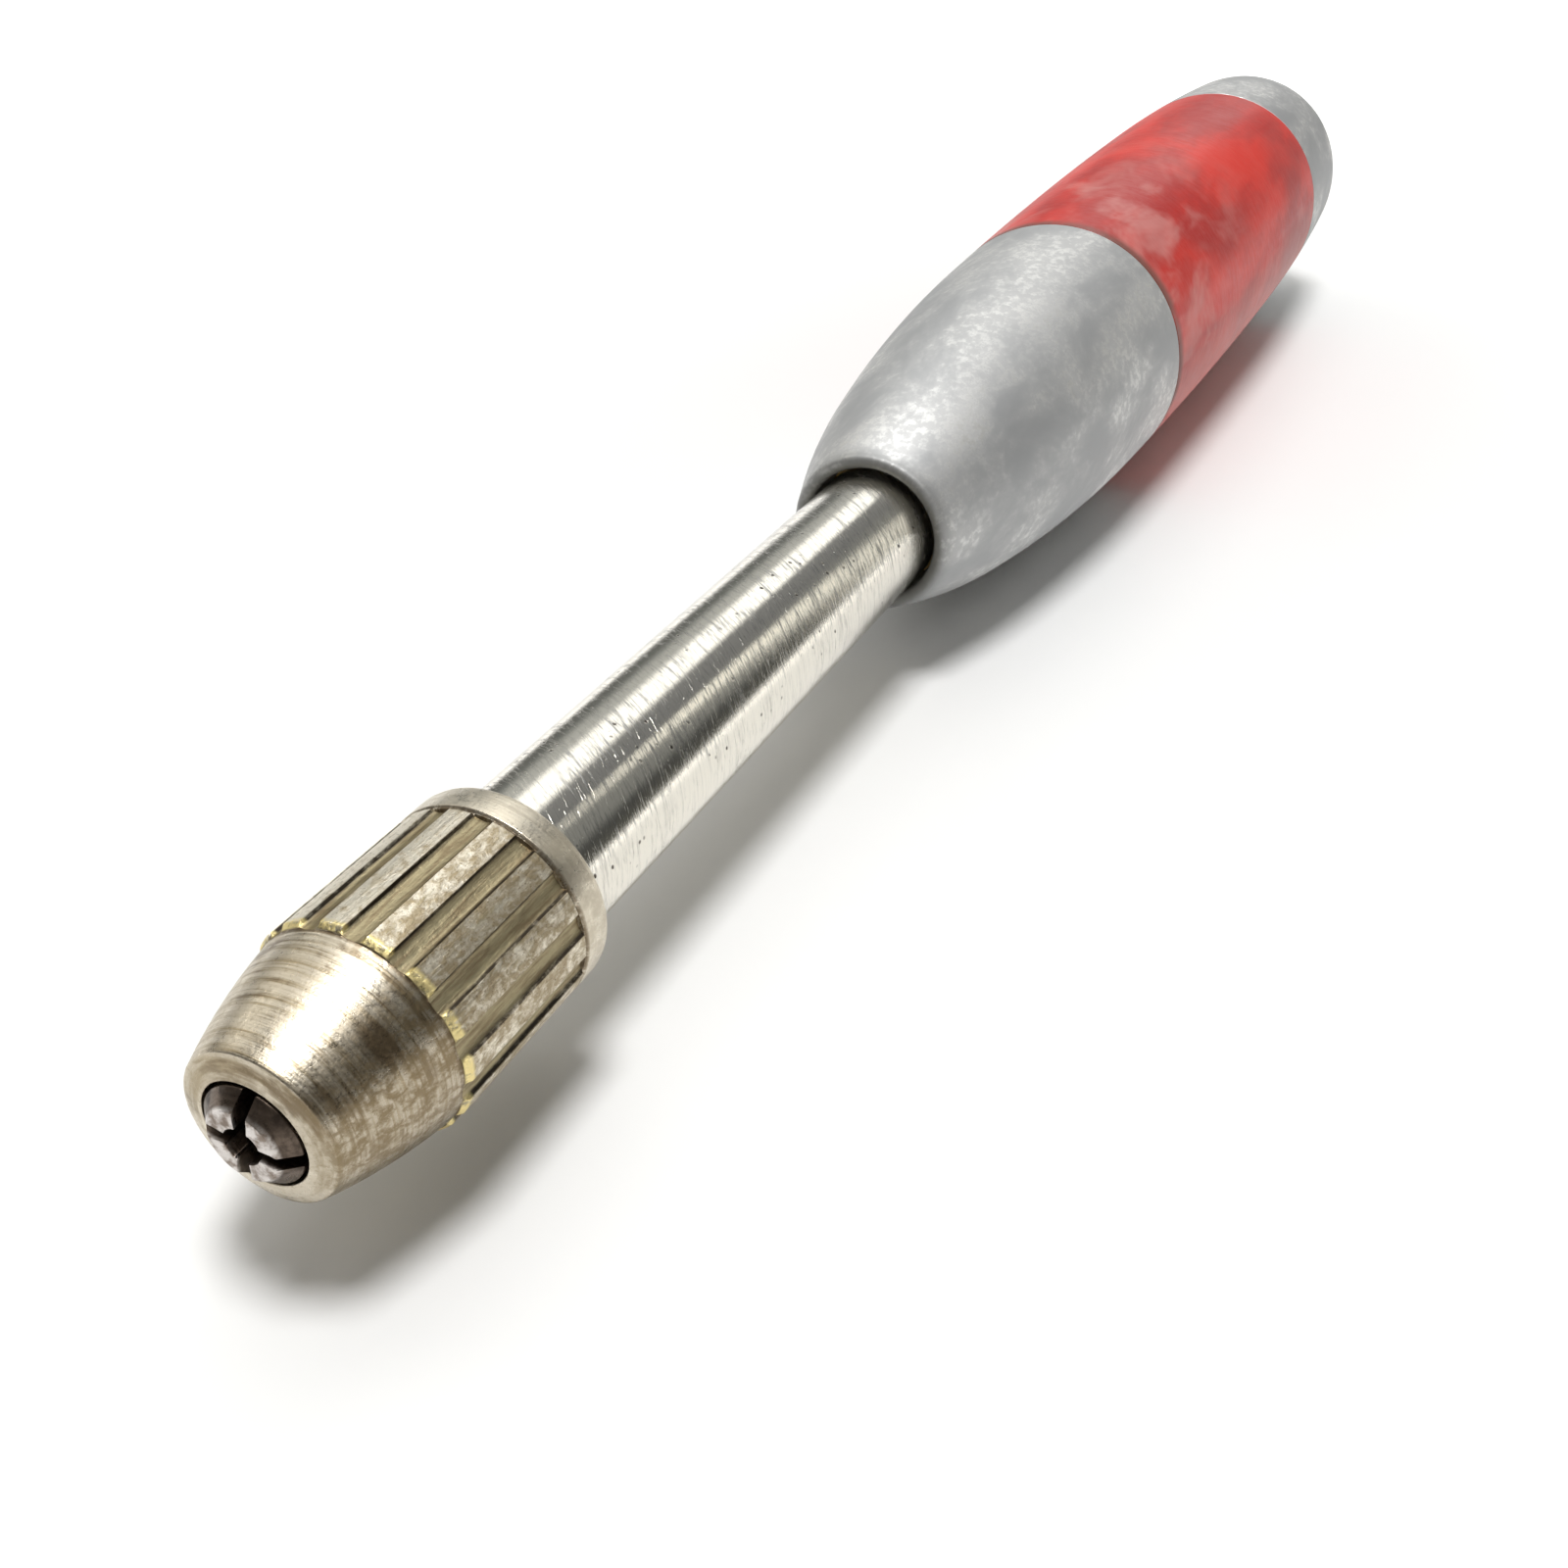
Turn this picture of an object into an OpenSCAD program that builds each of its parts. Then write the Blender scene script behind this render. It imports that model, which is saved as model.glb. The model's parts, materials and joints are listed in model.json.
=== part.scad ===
// Spiral push drill, lying on its side. Lengths are in millimetres.
// The origin is on the axis at the mouth of the collet. +Y runs along the axis to the tail, +Z is up.
// Pieces are drawn upright, with the tail up, and along_tool() lays them down.

/* [Tube] */
// Outer diameter of the sliding tube
tube_d = 9.5; // [9:0.1:10.5]
// Wall of the tube
tube_wall = 1; // [0.8:0.05:1.15]
// Length of tube that shows between sleeve and handle
tube_shown = 47.6; // [40:0.5:60]

/* [Collet] */
// Diameter of the bore that grips the drill's shank
grip_d = 2; // [1.5:0.1:2.4]
// Length of the gripping bore
grip_l = 6; // [4:0.5:7]
// Width of the slits between the jaws
slit_w = 0.75; // [0.6:0.05:0.9]
// Diameter of the flat on the collet's tip
tip_d = 3.8; // [3.4:0.1:4.4]
// Diameter of the collet where it passes the sleeve's hole
land_d = 5.44; // [5:0.02:5.6]
// How far the collet stands out of the sleeve's hole
tip_out = 0.8; // [0.5:0.1:1.2]
// Length of the straight land behind the hole's rim
land_l = 1.6; // [1.2:0.1:2]
// Slope of the closing cone to the axis, in degrees
cone_a = 11; // [9:0.5:12]
// Length of the closing cone
cone_l = 5; // [4.5:0.1:5.4]
// Length of the step from the closing cone to the leaves
neck_l = 0.8; // [0.6:0.1:1.2]
// Outer diameter of the springy leaves
leaf_d = 6.6; // [6.2:0.1:6.8]
// Thickness of the leaves
leaf_t = 1; // [0.7:0.05:1.2]
// Distance from the collet's mouth to the root of the leaves
leaf_root = 13.5; // [12.5:0.1:14.5]
// Length of the collet's solid ring
ring_l = 3; // [2.5:0.1:4]
// Turn of the slits about the axis, in degrees
slit_turn = 7; // [0:1:89]

/* [Closing ring] */
// Length of the closing ring
closer_l = 3.5; // [3:0.1:3.8]
// Outer diameter of the closing ring
closer_d = 8.2; // [7.9:0.05:8.4]

/* [Chuck sleeve] */
// Diameter of the hole in the sleeve's face
hole_d = 5.78; // [5.72:0.02:6.2]
// Diameter of the face's outer rim
face_d = 8.4; // [7.6:0.1:8.8]
// How far the face's outer rim lies behind the hole's rim
face_slope = 0.4; // [0.2:0.05:0.6]
// Thickness of the nose wall at the hole
nose_wall = 1.8; // [1.5:0.1:2]
// Distance from the hole's rim to the rear of the smooth nose
nose_l = 7.1; // [6.8:0.1:8]
// Diameter at the rear of the smooth nose
nose_d = 11.8; // [11.4:0.05:11.9]
// Bulge of the nose's side over a straight cone
nose_bulge = 0.2; // [0.1:0.02:0.3]
// Length of the ridged grip
ridge_l = 10.4; // [9:0.1:12]
// Diameter over the ridges and the rear collar
ridge_d = 12.35; // [12:0.05:12.8]
// Number of grooves
grooves = 15; // [12:1:18]
// Width of a groove
groove_w = 1.1; // [0.8:0.05:1.3]
// Depth of a groove
groove_deep = 0.35; // [0.25:0.05:0.5]
// Turn of the first groove about the axis, in degrees
groove_turn = 12.5; // [0:0.5:30]
// Radius of the turned line between ridges and collar
line_r = 0.18; // [0.1:0.02:0.25]
// Length of the plain rear collar
collar_l = 2.3; // [2:0.1:3]
// Rounding of the collar's rear edge
collar_round = 0.6; // [0.4:0.05:0.8]

// Free length between the closing ring and the sleeve's thread
thread_relief = 1; // [0.8:0.1:1.4]
// Distance from the front end of the tube to the sleeve's wide rear bore
bore_step = 0.7; // [0.5:0.1:1]

/* [Chuck body] */
// Wall of the threaded front of the chuck body
thread_wall = 1.15; // [1:0.05:1.2]
// Length of the threaded front
thread_l = 7.5; // [7:0.1:8.5]
// Length of the shank inside the tube
shank_l = 7.5; // [6:0.5:10]
// Distance from the front end of the tube to the cross pin
chuck_pin_set = 2.2; // [1.8:0.1:2.4]
// Diameter of the cross pins and dowels
pin_d = 1.5; // [1.2:0.1:1.8]

/* [Handle] */
// Length of the handle
handle_l = 128; // [122:1:140]
// Largest diameter of the handle
handle_d = 25.8; // [24.5:0.1:28]
// Distance from the mouth to the largest diameter
belly_at = 91; // [88:0.5:96]
// Distance from the mouth to the front of the enamelled barrel
barrel_from = 44; // [38:0.1:50]
// Length of the enamelled barrel
barrel_l = 60.8; // [55:0.1:66]
// Diameter of the mouth round the tube
mouth_d = 10.7; // [10.6:0.05:11]
// Rounding of the mouth's lip
lip_r = 0.45; // [0.35:0.05:0.55]
// Diameter of the long bore that holds the mechanism
chamber_d = 13.2; // [12.8:0.1:13.8]
// Diameter of the screwed joints of the shells
joint_d = 18; // [17:0.1:19]
// Length of the front shell's screwed spigot
spigot_l = 12; // [8:0.5:16]
// Depth of the tube's guide bush behind the mouth
bush_set_back = 4; // [3.5:0.1:6]
// Length of the guide bush
bush_l = 11.8; // [10:0.1:14]
// Length of the end cap's screwed spigot
cap_spigot_l = 6; // [5:0.5:9]
// Diameter of the hollow in the end cap
cap_hollow_d = 12; // [10:0.5:14]
// Thickness of the end cap's rear wall
cap_wall = 3; // [2:0.1:5]

/* [Drive] */
// Width of the spiral rod
rod_w = 5; // [4.4:0.1:5.2]
// Thickness of the spiral rod
rod_t = 2; // [1.6:0.1:2.4]
// Length of the rod in which it turns once
rod_lead = 22; // [18:0.5:30]
// Diameter of the rod's round shank
rod_shank_d = 4.4; // [3.8:0.1:4.8]
// Length of the nut's flange
flange_l = 3; // [2.5:0.1:4]
// Length of the nut inside the tube
nut_l = 8; // [7:0.5:12]
// Distance from the nut's front end to its dowels
nut_pin_set = 2.5; // [2:0.1:3]
// Distance from the nut's front end to the front end of the rod
rod_set = 2; // [1:0.5:3]
// Length of the twisted slot in the nut
slot_l = 5; // [4.5:0.1:6]
// Thickness of the buffer washer
buffer_t = 2; // [1.5:0.1:3]
// Thickness of the thrust washer
thrust_t = 0.8; // [0.6:0.1:1.2]
// Thickness of the spring seat
seat_t = 1.5; // [1:0.1:2]
// Length of the spring seat's collar inside the spring
seat_collar_l = 2; // [1:0.1:3]
// Length of the rod anchor's plug
anchor_l = 8; // [6:0.5:10]
// Thickness of the rod anchor's flange
anchor_flange_t = 2; // [1.5:0.1:3]

/* [Return spring] */
// Diameter of the spring's wire
wire_d = 0.9; // [0.7:0.05:1]
// Outer diameter of the spring
spring_d = 12; // [11.4:0.1:12.4]
// Gap between the wires of a closed end turn
closed_gap = 0.45; // [0.3:0.05:0.6]
// Number of turns with the wide pitch
open_turns = 16; // [12:1:17]

/* [Fits] */
// Radial play of a turning or sliding fit
run_play = 0.05; // [0.03:0.01:0.08]
// Radial play of a pressed or screwed fit
seat_play = 0.02; // [0.01:0.01:0.03]
// Radial play of the sleeve over the tube
sleeve_play = 0.1; // [0.08:0.01:0.15]
// Play between the closing ring's cone and the jaws
cone_play = 0.1; // [0.09:0.01:0.14]
// Play between rod and slot
slot_play = 0.15; // [0.12:0.01:0.2]
// Radial play of the nut's flange, the washers and the spring seat in the long bore
wall_play = 0.2; // [0.15:0.01:0.3]
// Radial play of the buffer washer round the tube, and of washer and seat round the rod
wide_play = 0.3; // [0.2:0.05:0.4]
// Radial play of the seat's collar in the spring
spring_play = 0.2; // [0.15:0.01:0.3]
// Play of the wire's ends on their seats
wire_ease = 0.02; // [0.01:0.01:0.04]
// Gap between the jaws and the solid ring that they spring from
root_gap = 0.2; // [0.15:0.01:0.3]

/* [Hidden] */

// Smoothness of round faces, of the handle's arcs and of small details
fine = 96;
smooth = 256;
small = 48;
// Steps of the barrel's long arc, whose radius is too large for a drawn circle
barrel_steps = 4;
// Overlap that keeps a cut from ending on a face, and joins slices of an outline
cut = 0.5;

// Stations along the axis, counted from the collet's mouth
hole_at = tip_out;
face_at = hole_at + face_slope;
nose_end = hole_at + nose_l;
ridge_end = nose_end + ridge_l;
sleeve_end = ridge_end + collar_l;
mouth_at = sleeve_end + tube_shown;
closer_from = hole_at + nose_wall + run_play;
cone_from = tip_out + land_l;
cone_end = cone_from + cone_l;
ring_from = leaf_root + root_gap;
ring_end = ring_from + ring_l;
body_from = ring_end - thread_l;
tube_from = ring_end;
bush_from = mouth_at + bush_set_back;
buffer_from = bush_from + bush_l;
flange_from = buffer_from + buffer_t + run_play;
flange_end = flange_from + flange_l;
nut_from = flange_from - nut_l;
rod_from = nut_from + rod_set;
thrust_from = flange_end + run_play;
seat_from = thrust_from + thrust_t;
spring_from = seat_from + seat_t;
barrel_at = mouth_at + barrel_from;
barrel_end = barrel_at + barrel_l;
tail_at = mouth_at + handle_l;
anchor_flange_from = barrel_end - cap_spigot_l - anchor_flange_t;
anchor_from = anchor_flange_from - anchor_l;
anchor_end = anchor_flange_from + anchor_flange_t;
spring_end = anchor_from;

// Radii shared by pieces that fit each other
tube_r = tube_d / 2;
tube_bore_r = tube_r - tube_wall;
thread_r = tube_r - run_play;
collet_bore_r = thread_r - thread_wall;
closer_r = closer_d / 2;
land_r = land_d / 2;
chamber_r = chamber_d / 2;
inner_r = chamber_r - wall_play;
joint_r = joint_d / 2;
rod_corner_r = norm([rod_w, rod_t]) / 2;
rod_pass_r = rod_corner_r + slot_play;
pin_r = pin_d / 2;
cone_r = land_r + cone_l * tan(cone_a);

// Twist of the rod in degrees for each millimetre
rod_twist = 360 / rod_lead;
// Turn of the rod's section between two steps of its twist
twist_step = 12;

// Arcs of the handle's side, each tangent to the next, from the belly to the mouth and to the tail.
// One arc from belly to mouth would have half of front_bend as its radius.
belly_r = handle_d / 2;
side_drop = belly_r - mouth_d / 2 - 2 * lip_r;
front_bend = belly_at * belly_at / side_drop;
// Radii of the arcs of barrel, ogive and mouth as shares of front_bend
bend_shares = [1.044, 0.163, 0.0562];
barrel_arc = front_bend * bend_shares[0];
ogive_arc = front_bend * bend_shares[1];
mouth_arc = front_bend * bend_shares[2];
// Distances from the mouth at which ogive and mouth arcs end, as shares of belly_at
end_shares = [0.4143, 0.1319];
ogive_at = belly_at * end_shares[0];
mouth_arc_at = belly_at * end_shares[1];
tail_arc = 500;
corner_arc = 6.5;
// Slope to the axis at which the tail's corner meets its dome, in degrees
corner_slope = 72;

// An arc is [centre station, centre radius, arc radius]; the next one is tangent to it at station x
function arc_r(a, x) = a[1] + sqrt(a[2] * a[2] - (x - a[0]) * (x - a[0]));
function next_arc(a, x, r) =
    [x + (a[0] - x) * r / a[2], arc_r(a, x) + (a[1] - arc_r(a, x)) * r / a[2], r];

front_arc = [belly_at, belly_r - barrel_arc, barrel_arc];
side_arc = next_arc(front_arc, ogive_at, ogive_arc);
mouth_side = next_arc(side_arc, mouth_arc_at, mouth_arc);
rear_arc = [belly_at, belly_r - tail_arc, tail_arc];

// Length of corner and dome together when the corner starts at distance x from the mouth
function tail_slope(x) = asin((x - belly_at) / tail_arc);
function dome_edge(x) = arc_r(rear_arc, x) - corner_arc * (cos(tail_slope(x)) - cos(corner_slope));
function tail_l(x) = corner_arc * (sin(corner_slope) - sin(tail_slope(x)))
    + dome_edge(x) * (1 - sin(corner_slope)) / cos(corner_slope);
// The corner starts where corner and dome end at the handle's stated length
function corner_start(x, tries) = tries == 0 ? x : corner_start(handle_l - tail_l(x), tries - 1);
corner_at = corner_start(handle_l - corner_arc, 5);
corner = next_arc(rear_arc, corner_at, corner_arc);
dome_at = corner[0] + corner_arc * sin(corner_slope);
dome_arc = dome_edge(corner_at) / cos(corner_slope);
dome_mid = dome_at - dome_arc * sin(corner_slope);

// Spring: closed end turns and open middle turns
coil_r = spring_d / 2 - wire_d / 2;
closed_pitch = wire_d + closed_gap;
spring_l = spring_end - spring_from - wire_d - 2 * wire_ease;
open_pitch = (spring_l - 2 * closed_pitch) / open_turns;
wire_sides = 6;
turn_rings = 14;

module along_tool() {
    rotate([-90, 0, 0]) children();
}

// Ring of revolution between two stations, with an optional hole
module ring(r, from, to, hole = 0) {
    translate([0, 0, from]) difference() {
        cylinder(r = r, h = to - from, $fn = fine);
        if (hole > 0)
            translate([0, 0, -cut]) cylinder(r = hole, h = to - from + 2 * cut, $fn = fine);
    }
}

// Slice of a disc in the half plane, with the axis upright: station is y and radius is x
module arc_slice(a, from, to) {
    intersection() {
        translate([a[1], a[0]]) circle(r = a[2], $fn = smooth);
        translate([0, from]) square([handle_d, to - from]);
    }
}

// Half section of the handle's whole outside, from the mouth at station 0 to the tail
module handle_outline() {
    barrel_side = [
        for (i = [0 : barrel_steps])
            let (x = ogive_at + (belly_at - ogive_at) * i / barrel_steps) [arc_r(front_arc, x), x]
    ];
    polygon(concat([[0, ogive_at]], barrel_side, [[0, belly_at]]));
    arc_slice(side_arc, mouth_arc_at, ogive_at + cut);
    arc_slice(mouth_side, lip_r, mouth_arc_at + cut);
    translate([mouth_d / 2 + lip_r, lip_r]) circle(r = lip_r, $fn = small);
    barrel_rear = [
        for (i = [0 : barrel_steps])
            let (x = belly_at + (corner_at - belly_at) * i / barrel_steps) [arc_r(rear_arc, x), x]
    ];
    polygon(concat([[0, belly_at - cut]], [[belly_r, belly_at - cut]], barrel_rear, [[0, corner_at]]));
    arc_slice(corner, corner_at - cut, dome_at + cut);
    arc_slice([dome_mid, 0, dome_arc], dome_at, dome_mid + dome_arc);
}

// Part of the handle's outside between two stations of the tool
module handle_part(from, to) {
    translate([0, 0, mouth_at]) rotate_extrude($fn = fine) intersection() {
        handle_outline();
        translate([0, from - mouth_at]) square([handle_d, to - from]);
    }
}

// Cross pin along X at a station, from -reach to reach
module cross_pin(station, reach) {
    translate([-reach, 0, station]) rotate([0, 90, 0]) cylinder(r = pin_r, h = 2 * reach, $fn = small);
}

module pin_hole(station) {
    translate([-handle_d, 0, station]) rotate([0, 90, 0])
        cylinder(r = pin_r + seat_play, h = 2 * handle_d, $fn = small);
}

module groove_cut() {
    // A round-bottomed channel whose width at the ridge tops is groove_w
    cut_r = (groove_w * groove_w / 4 + groove_deep * groove_deep) / (2 * groove_deep);
    for (i = [0 : grooves - 1])
        rotate([0, 0, groove_turn + i * 360 / grooves])
            translate([ridge_d / 2 - groove_deep + cut_r, 0, face_at])
                cylinder(r = cut_r, h = ridge_end - face_at, $fn = small);
}

// Side of the sleeve as a half section
module sleeve_section() {
    face_r = face_d / 2;
    nose_r = nose_d / 2;
    ridge_r = ridge_d / 2;
    // The nose's side is an arc through the face's rim and the rear of the nose
    chord = norm([nose_r - face_r, nose_end - face_at]);
    side_r = (chord * chord / 4 + nose_bulge * nose_bulge) / (2 * nose_bulge);
    mid = [(face_r + nose_r) / 2, (face_at + nose_end) / 2];
    out = [nose_end - face_at, face_r - nose_r] / chord;
    centre = mid - out * (side_r - nose_bulge);
    difference() {
        union() {
            polygon([[0, hole_at], [hole_d / 2, hole_at], [face_r, face_at], [0, face_at]]);
            intersection() {
                translate(centre) circle(r = side_r, $fn = 360);
                translate([0, face_at]) square([ridge_d, nose_end - face_at]);
            }
            translate([0, nose_end]) square([ridge_r, sleeve_end - collar_round - nose_end]);
            translate([0, sleeve_end - 2 * collar_round])
                square([ridge_r - collar_round, 2 * collar_round]);
            translate([ridge_r - collar_round, sleeve_end - collar_round])
                circle(r = collar_round, $fn = small);
        }
        // Turned line between ridges and collar
        translate([ridge_r, ridge_end]) circle(r = line_r, $fn = small);
    }
}

module chuck_sleeve() {
    cavity_from = hole_at + nose_wall;
    thread_from = closer_from + closer_l + thread_relief;
    tube_zone_from = tube_from + bore_step;
    color("gainsboro") along_tool() difference() {
        rotate_extrude($fn = fine) sleeve_section();
        ring(hole_d / 2, hole_at - cut, cavity_from + cut);
        ring(closer_r + run_play, cavity_from, thread_from + cut);
        ring(thread_r + run_play + seat_play, thread_from, tube_zone_from + cut);
        ring(tube_r + sleeve_play, tube_zone_from, sleeve_end + cut);
        groove_cut();
    }
}

module jaw_ring() {
    // The inner cone runs parallel to the jaws' cone
    from_r = land_r + (closer_from - cone_from) * tan(cone_a) + cone_play;
    to_r = from_r + closer_l * tan(cone_a);
    color("dimgray") along_tool() difference() {
        ring(closer_r, closer_from, closer_from + closer_l);
        translate([0, 0, closer_from]) cylinder(r1 = from_r, r2 = to_r, h = closer_l, $fn = fine);
    }
}

// Whole collet in front of its root, before it is slit into jaws
module collet_blank() {
    tip_r = tip_d / 2;
    leaf_r = leaf_d / 2;
    neck = cone_end + neck_l;
    difference() {
        rotate_extrude($fn = fine) polygon([
            [0, 0], [tip_r, 0], [land_r, tip_out], [land_r, cone_from], [cone_r, cone_end],
            [leaf_r, neck], [leaf_r, leaf_root], [0, leaf_root]
        ]);
        ring(grip_d / 2, -cut, grip_l + cut);
        ring(leaf_r - leaf_t, grip_l, leaf_root + cut);
    }
}

module jaw(quarter) {
    side = 2 * cone_r;
    color("silver") along_tool() intersection() {
        collet_blank();
        rotate([0, 0, slit_turn + 90 * quarter])
            translate([slit_w / 2, slit_w / 2, -cut]) cube([side, side, leaf_root + 2 * cut]);
    }
}

module collet_ring() {
    color("silver") along_tool()
        ring(collet_bore_r - seat_play, ring_from, ring_end, leaf_d / 2 - leaf_t);
}

module chuck_body() {
    color("gray") along_tool() difference() {
        union() {
            ring(thread_r, body_from, ring_end);
            ring(tube_bore_r - seat_play, ring_end - cut, ring_end + shank_l);
        }
        ring(collet_bore_r, body_from - cut, ring_end);
        pin_hole(chuck_pin_at());
    }
}

// The pin lies under the sleeve's collar
function chuck_pin_at() = tube_from + chuck_pin_set;

module chuck_pin() {
    color("gray") along_tool() cross_pin(chuck_pin_at(), tube_r - run_play);
}

function nut_pin_at() = nut_from + nut_pin_set;

module drive_tube() {
    color("lightgray") along_tool() difference() {
        ring(tube_r, tube_from, flange_from, tube_bore_r);
        pin_hole(chuck_pin_at());
        pin_hole(nut_pin_at());
    }
}

// Flat rod's section swept with its twist from one station to another, widened by play
module twisted_flat(from, to, play = 0) {
    turn = (to - from) * rod_twist;
    translate([0, 0, from]) rotate([0, 0, -from * rod_twist])
        linear_extrude(height = to - from, twist = turn, slices = ceil(turn / twist_step))
            square([rod_w + 2 * play, rod_t + 2 * play], center = true);
}

module drive_nut() {
    slot_from = flange_end - slot_l;
    color("goldenrod") along_tool() difference() {
        union() {
            ring(inner_r, flange_from, flange_end);
            ring(tube_bore_r - seat_play, nut_from, flange_from + cut);
        }
        ring(rod_pass_r, nut_from - cut, slot_from);
        twisted_flat(slot_from - cut, flange_end + cut, slot_play);
        pin_hole(nut_pin_at());
    }
}

module nut_pins() {
    reach = tube_r - run_play;
    inside = rod_pass_r + run_play;
    color("gray") along_tool() for (side = [0, 180])
        rotate([0, 0, side]) translate([inside, 0, nut_pin_at()]) rotate([0, 90, 0])
            cylinder(r = pin_r, h = reach - inside, $fn = small);
}

module thrust_washer() {
    color("darkgoldenrod") along_tool()
        ring(inner_r, thrust_from, thrust_from + thrust_t, rod_pass_r + wide_play);
}

// Pressed seat: a disc with a low collar that centres the spring
module spring_seat() {
    collar_r = coil_r - wire_d / 2 - spring_play;
    collar_end = spring_from + seat_collar_l;
    color("darkgray") along_tool() difference() {
        union() {
            ring(inner_r, seat_from, spring_from);
            ring(collar_r, seat_from, collar_end);
        }
        ring(rod_pass_r + wide_play, seat_from - cut, collar_end + cut);
    }
}

// Station of the wire's middle after t turns: a closed turn, open turns, a closed turn
function wire_at(t) =
    spring_from + wire_d / 2 + wire_ease + closed_pitch * min(t, 1)
    + open_pitch * max(0, min(t - 1, open_turns)) + closed_pitch * max(0, t - 1 - open_turns);

function wire_ring(t) = [
    for (k = [0 : wire_sides - 1])
        let (a = 360 * k / wire_sides, r = coil_r + cos(a) * wire_d / 2)
            [r * cos(360 * t), r * sin(360 * t), wire_at(t) + sin(a) * wire_d / 2]
];

module return_spring() {
    turns = open_turns + 2;
    rings = turns * turn_rings;
    points = [for (i = [0 : rings]) each wire_ring(i / turn_rings)];
    sides = [
        for (i = [0 : rings - 1], k = [0 : wire_sides - 1])
            let (a = i * wire_sides + k, b = i * wire_sides + (k + 1) % wire_sides)
                each [[a, b, b + wire_sides], [a, b + wire_sides, a + wire_sides]]
    ];
    last = rings * wire_sides;
    ends = [
        for (k = [1 : wire_sides - 2])
            each [[0, k + 1, k], [last, last + k, last + k + 1]]
    ];
    echo(least_gap_between_turns = min(closed_pitch, open_pitch) - wire_d);
    color("slategray") along_tool() polyhedron(points = points, faces = concat(sides, ends));
}

// The shank's pin crosses the anchor's plug
function anchor_pin_at() = anchor_from + anchor_l / 2;

module spiral_rod() {
    color("silver") along_tool() difference() {
        union() {
            twisted_flat(rod_from, anchor_from - cut);
            ring(rod_shank_d / 2, anchor_from - 2 * cut, anchor_end);
        }
        pin_hole(anchor_pin_at());
    }
}

module rod_anchor() {
    color("gray") along_tool() difference() {
        union() {
            ring(chamber_r - seat_play, anchor_from, anchor_flange_from + cut);
            ring(joint_r - seat_play, anchor_flange_from, anchor_end);
        }
        ring(rod_shank_d / 2 + seat_play, anchor_from - cut, anchor_end + cut);
        pin_hole(anchor_pin_at());
    }
}

module anchor_pin() {
    color("gray") along_tool() cross_pin(anchor_pin_at(), chamber_r - 2 * seat_play);
}

module buffer_washer() {
    color("saddlebrown") along_tool()
        ring(inner_r, buffer_from, buffer_from + buffer_t, tube_r + wide_play);
}

module front_bush() {
    color("goldenrod") along_tool()
        ring(chamber_r - seat_play, bush_from, buffer_from, tube_r + run_play);
}

module front_shell() {
    color("silver") along_tool() difference() {
        union() {
            handle_part(mouth_at, barrel_at);
            ring(joint_r - seat_play, barrel_at - cut, barrel_at + spigot_l);
        }
        // The lip's round stands a little inside the mouth's bore, so its front stays whole
        ring(mouth_d / 2, mouth_at + lip_r, bush_from + cut);
        ring(chamber_r, bush_from, barrel_at + spigot_l + cut);
    }
}

module grip_barrel() {
    color("firebrick") along_tool() difference() {
        handle_part(barrel_at, barrel_end);
        ring(joint_r, barrel_at - cut, barrel_at + spigot_l);
        ring(chamber_r, barrel_at, anchor_flange_from + cut);
        ring(joint_r, anchor_flange_from, barrel_end + cut);
    }
}

module end_cap() {
    color("silver") along_tool() difference() {
        union() {
            handle_part(barrel_end, tail_at + cut);
            ring(joint_r - seat_play, anchor_end, barrel_end + cut);
        }
        ring(cap_hollow_d / 2, anchor_end - cut, tail_at - cap_wall);
    }
}

chuck_sleeve();
jaw_ring();
jaw(0);  // jaw_1
jaw(1);  // jaw_2
jaw(2);  // jaw_3
jaw(3);  // jaw_4
collet_ring();
chuck_body();
chuck_pin();
drive_tube();
drive_nut();
nut_pins();
thrust_washer();
spring_seat();
return_spring();
spiral_rod();
rod_anchor();
anchor_pin();
buffer_washer();
front_bush();
front_shell();
grip_barrel();
end_cap();
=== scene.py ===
"""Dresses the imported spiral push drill: turned pieces, finishes, table, lamp, room and camera.

The tool lies along +Y with its collet's mouth at the origin. The sizes of the pieces are written in
millimetres and turned into metres by MM. A station is a place along Y, and r is a distance from the axis.
"""
from __future__ import annotations

import json
import logging
import math
from dataclasses import dataclass, field
from enum import Enum
from typing import Callable, Iterable, Iterator, Sequence

import bmesh
import bpy
from mathutils import Matrix, Vector

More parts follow.
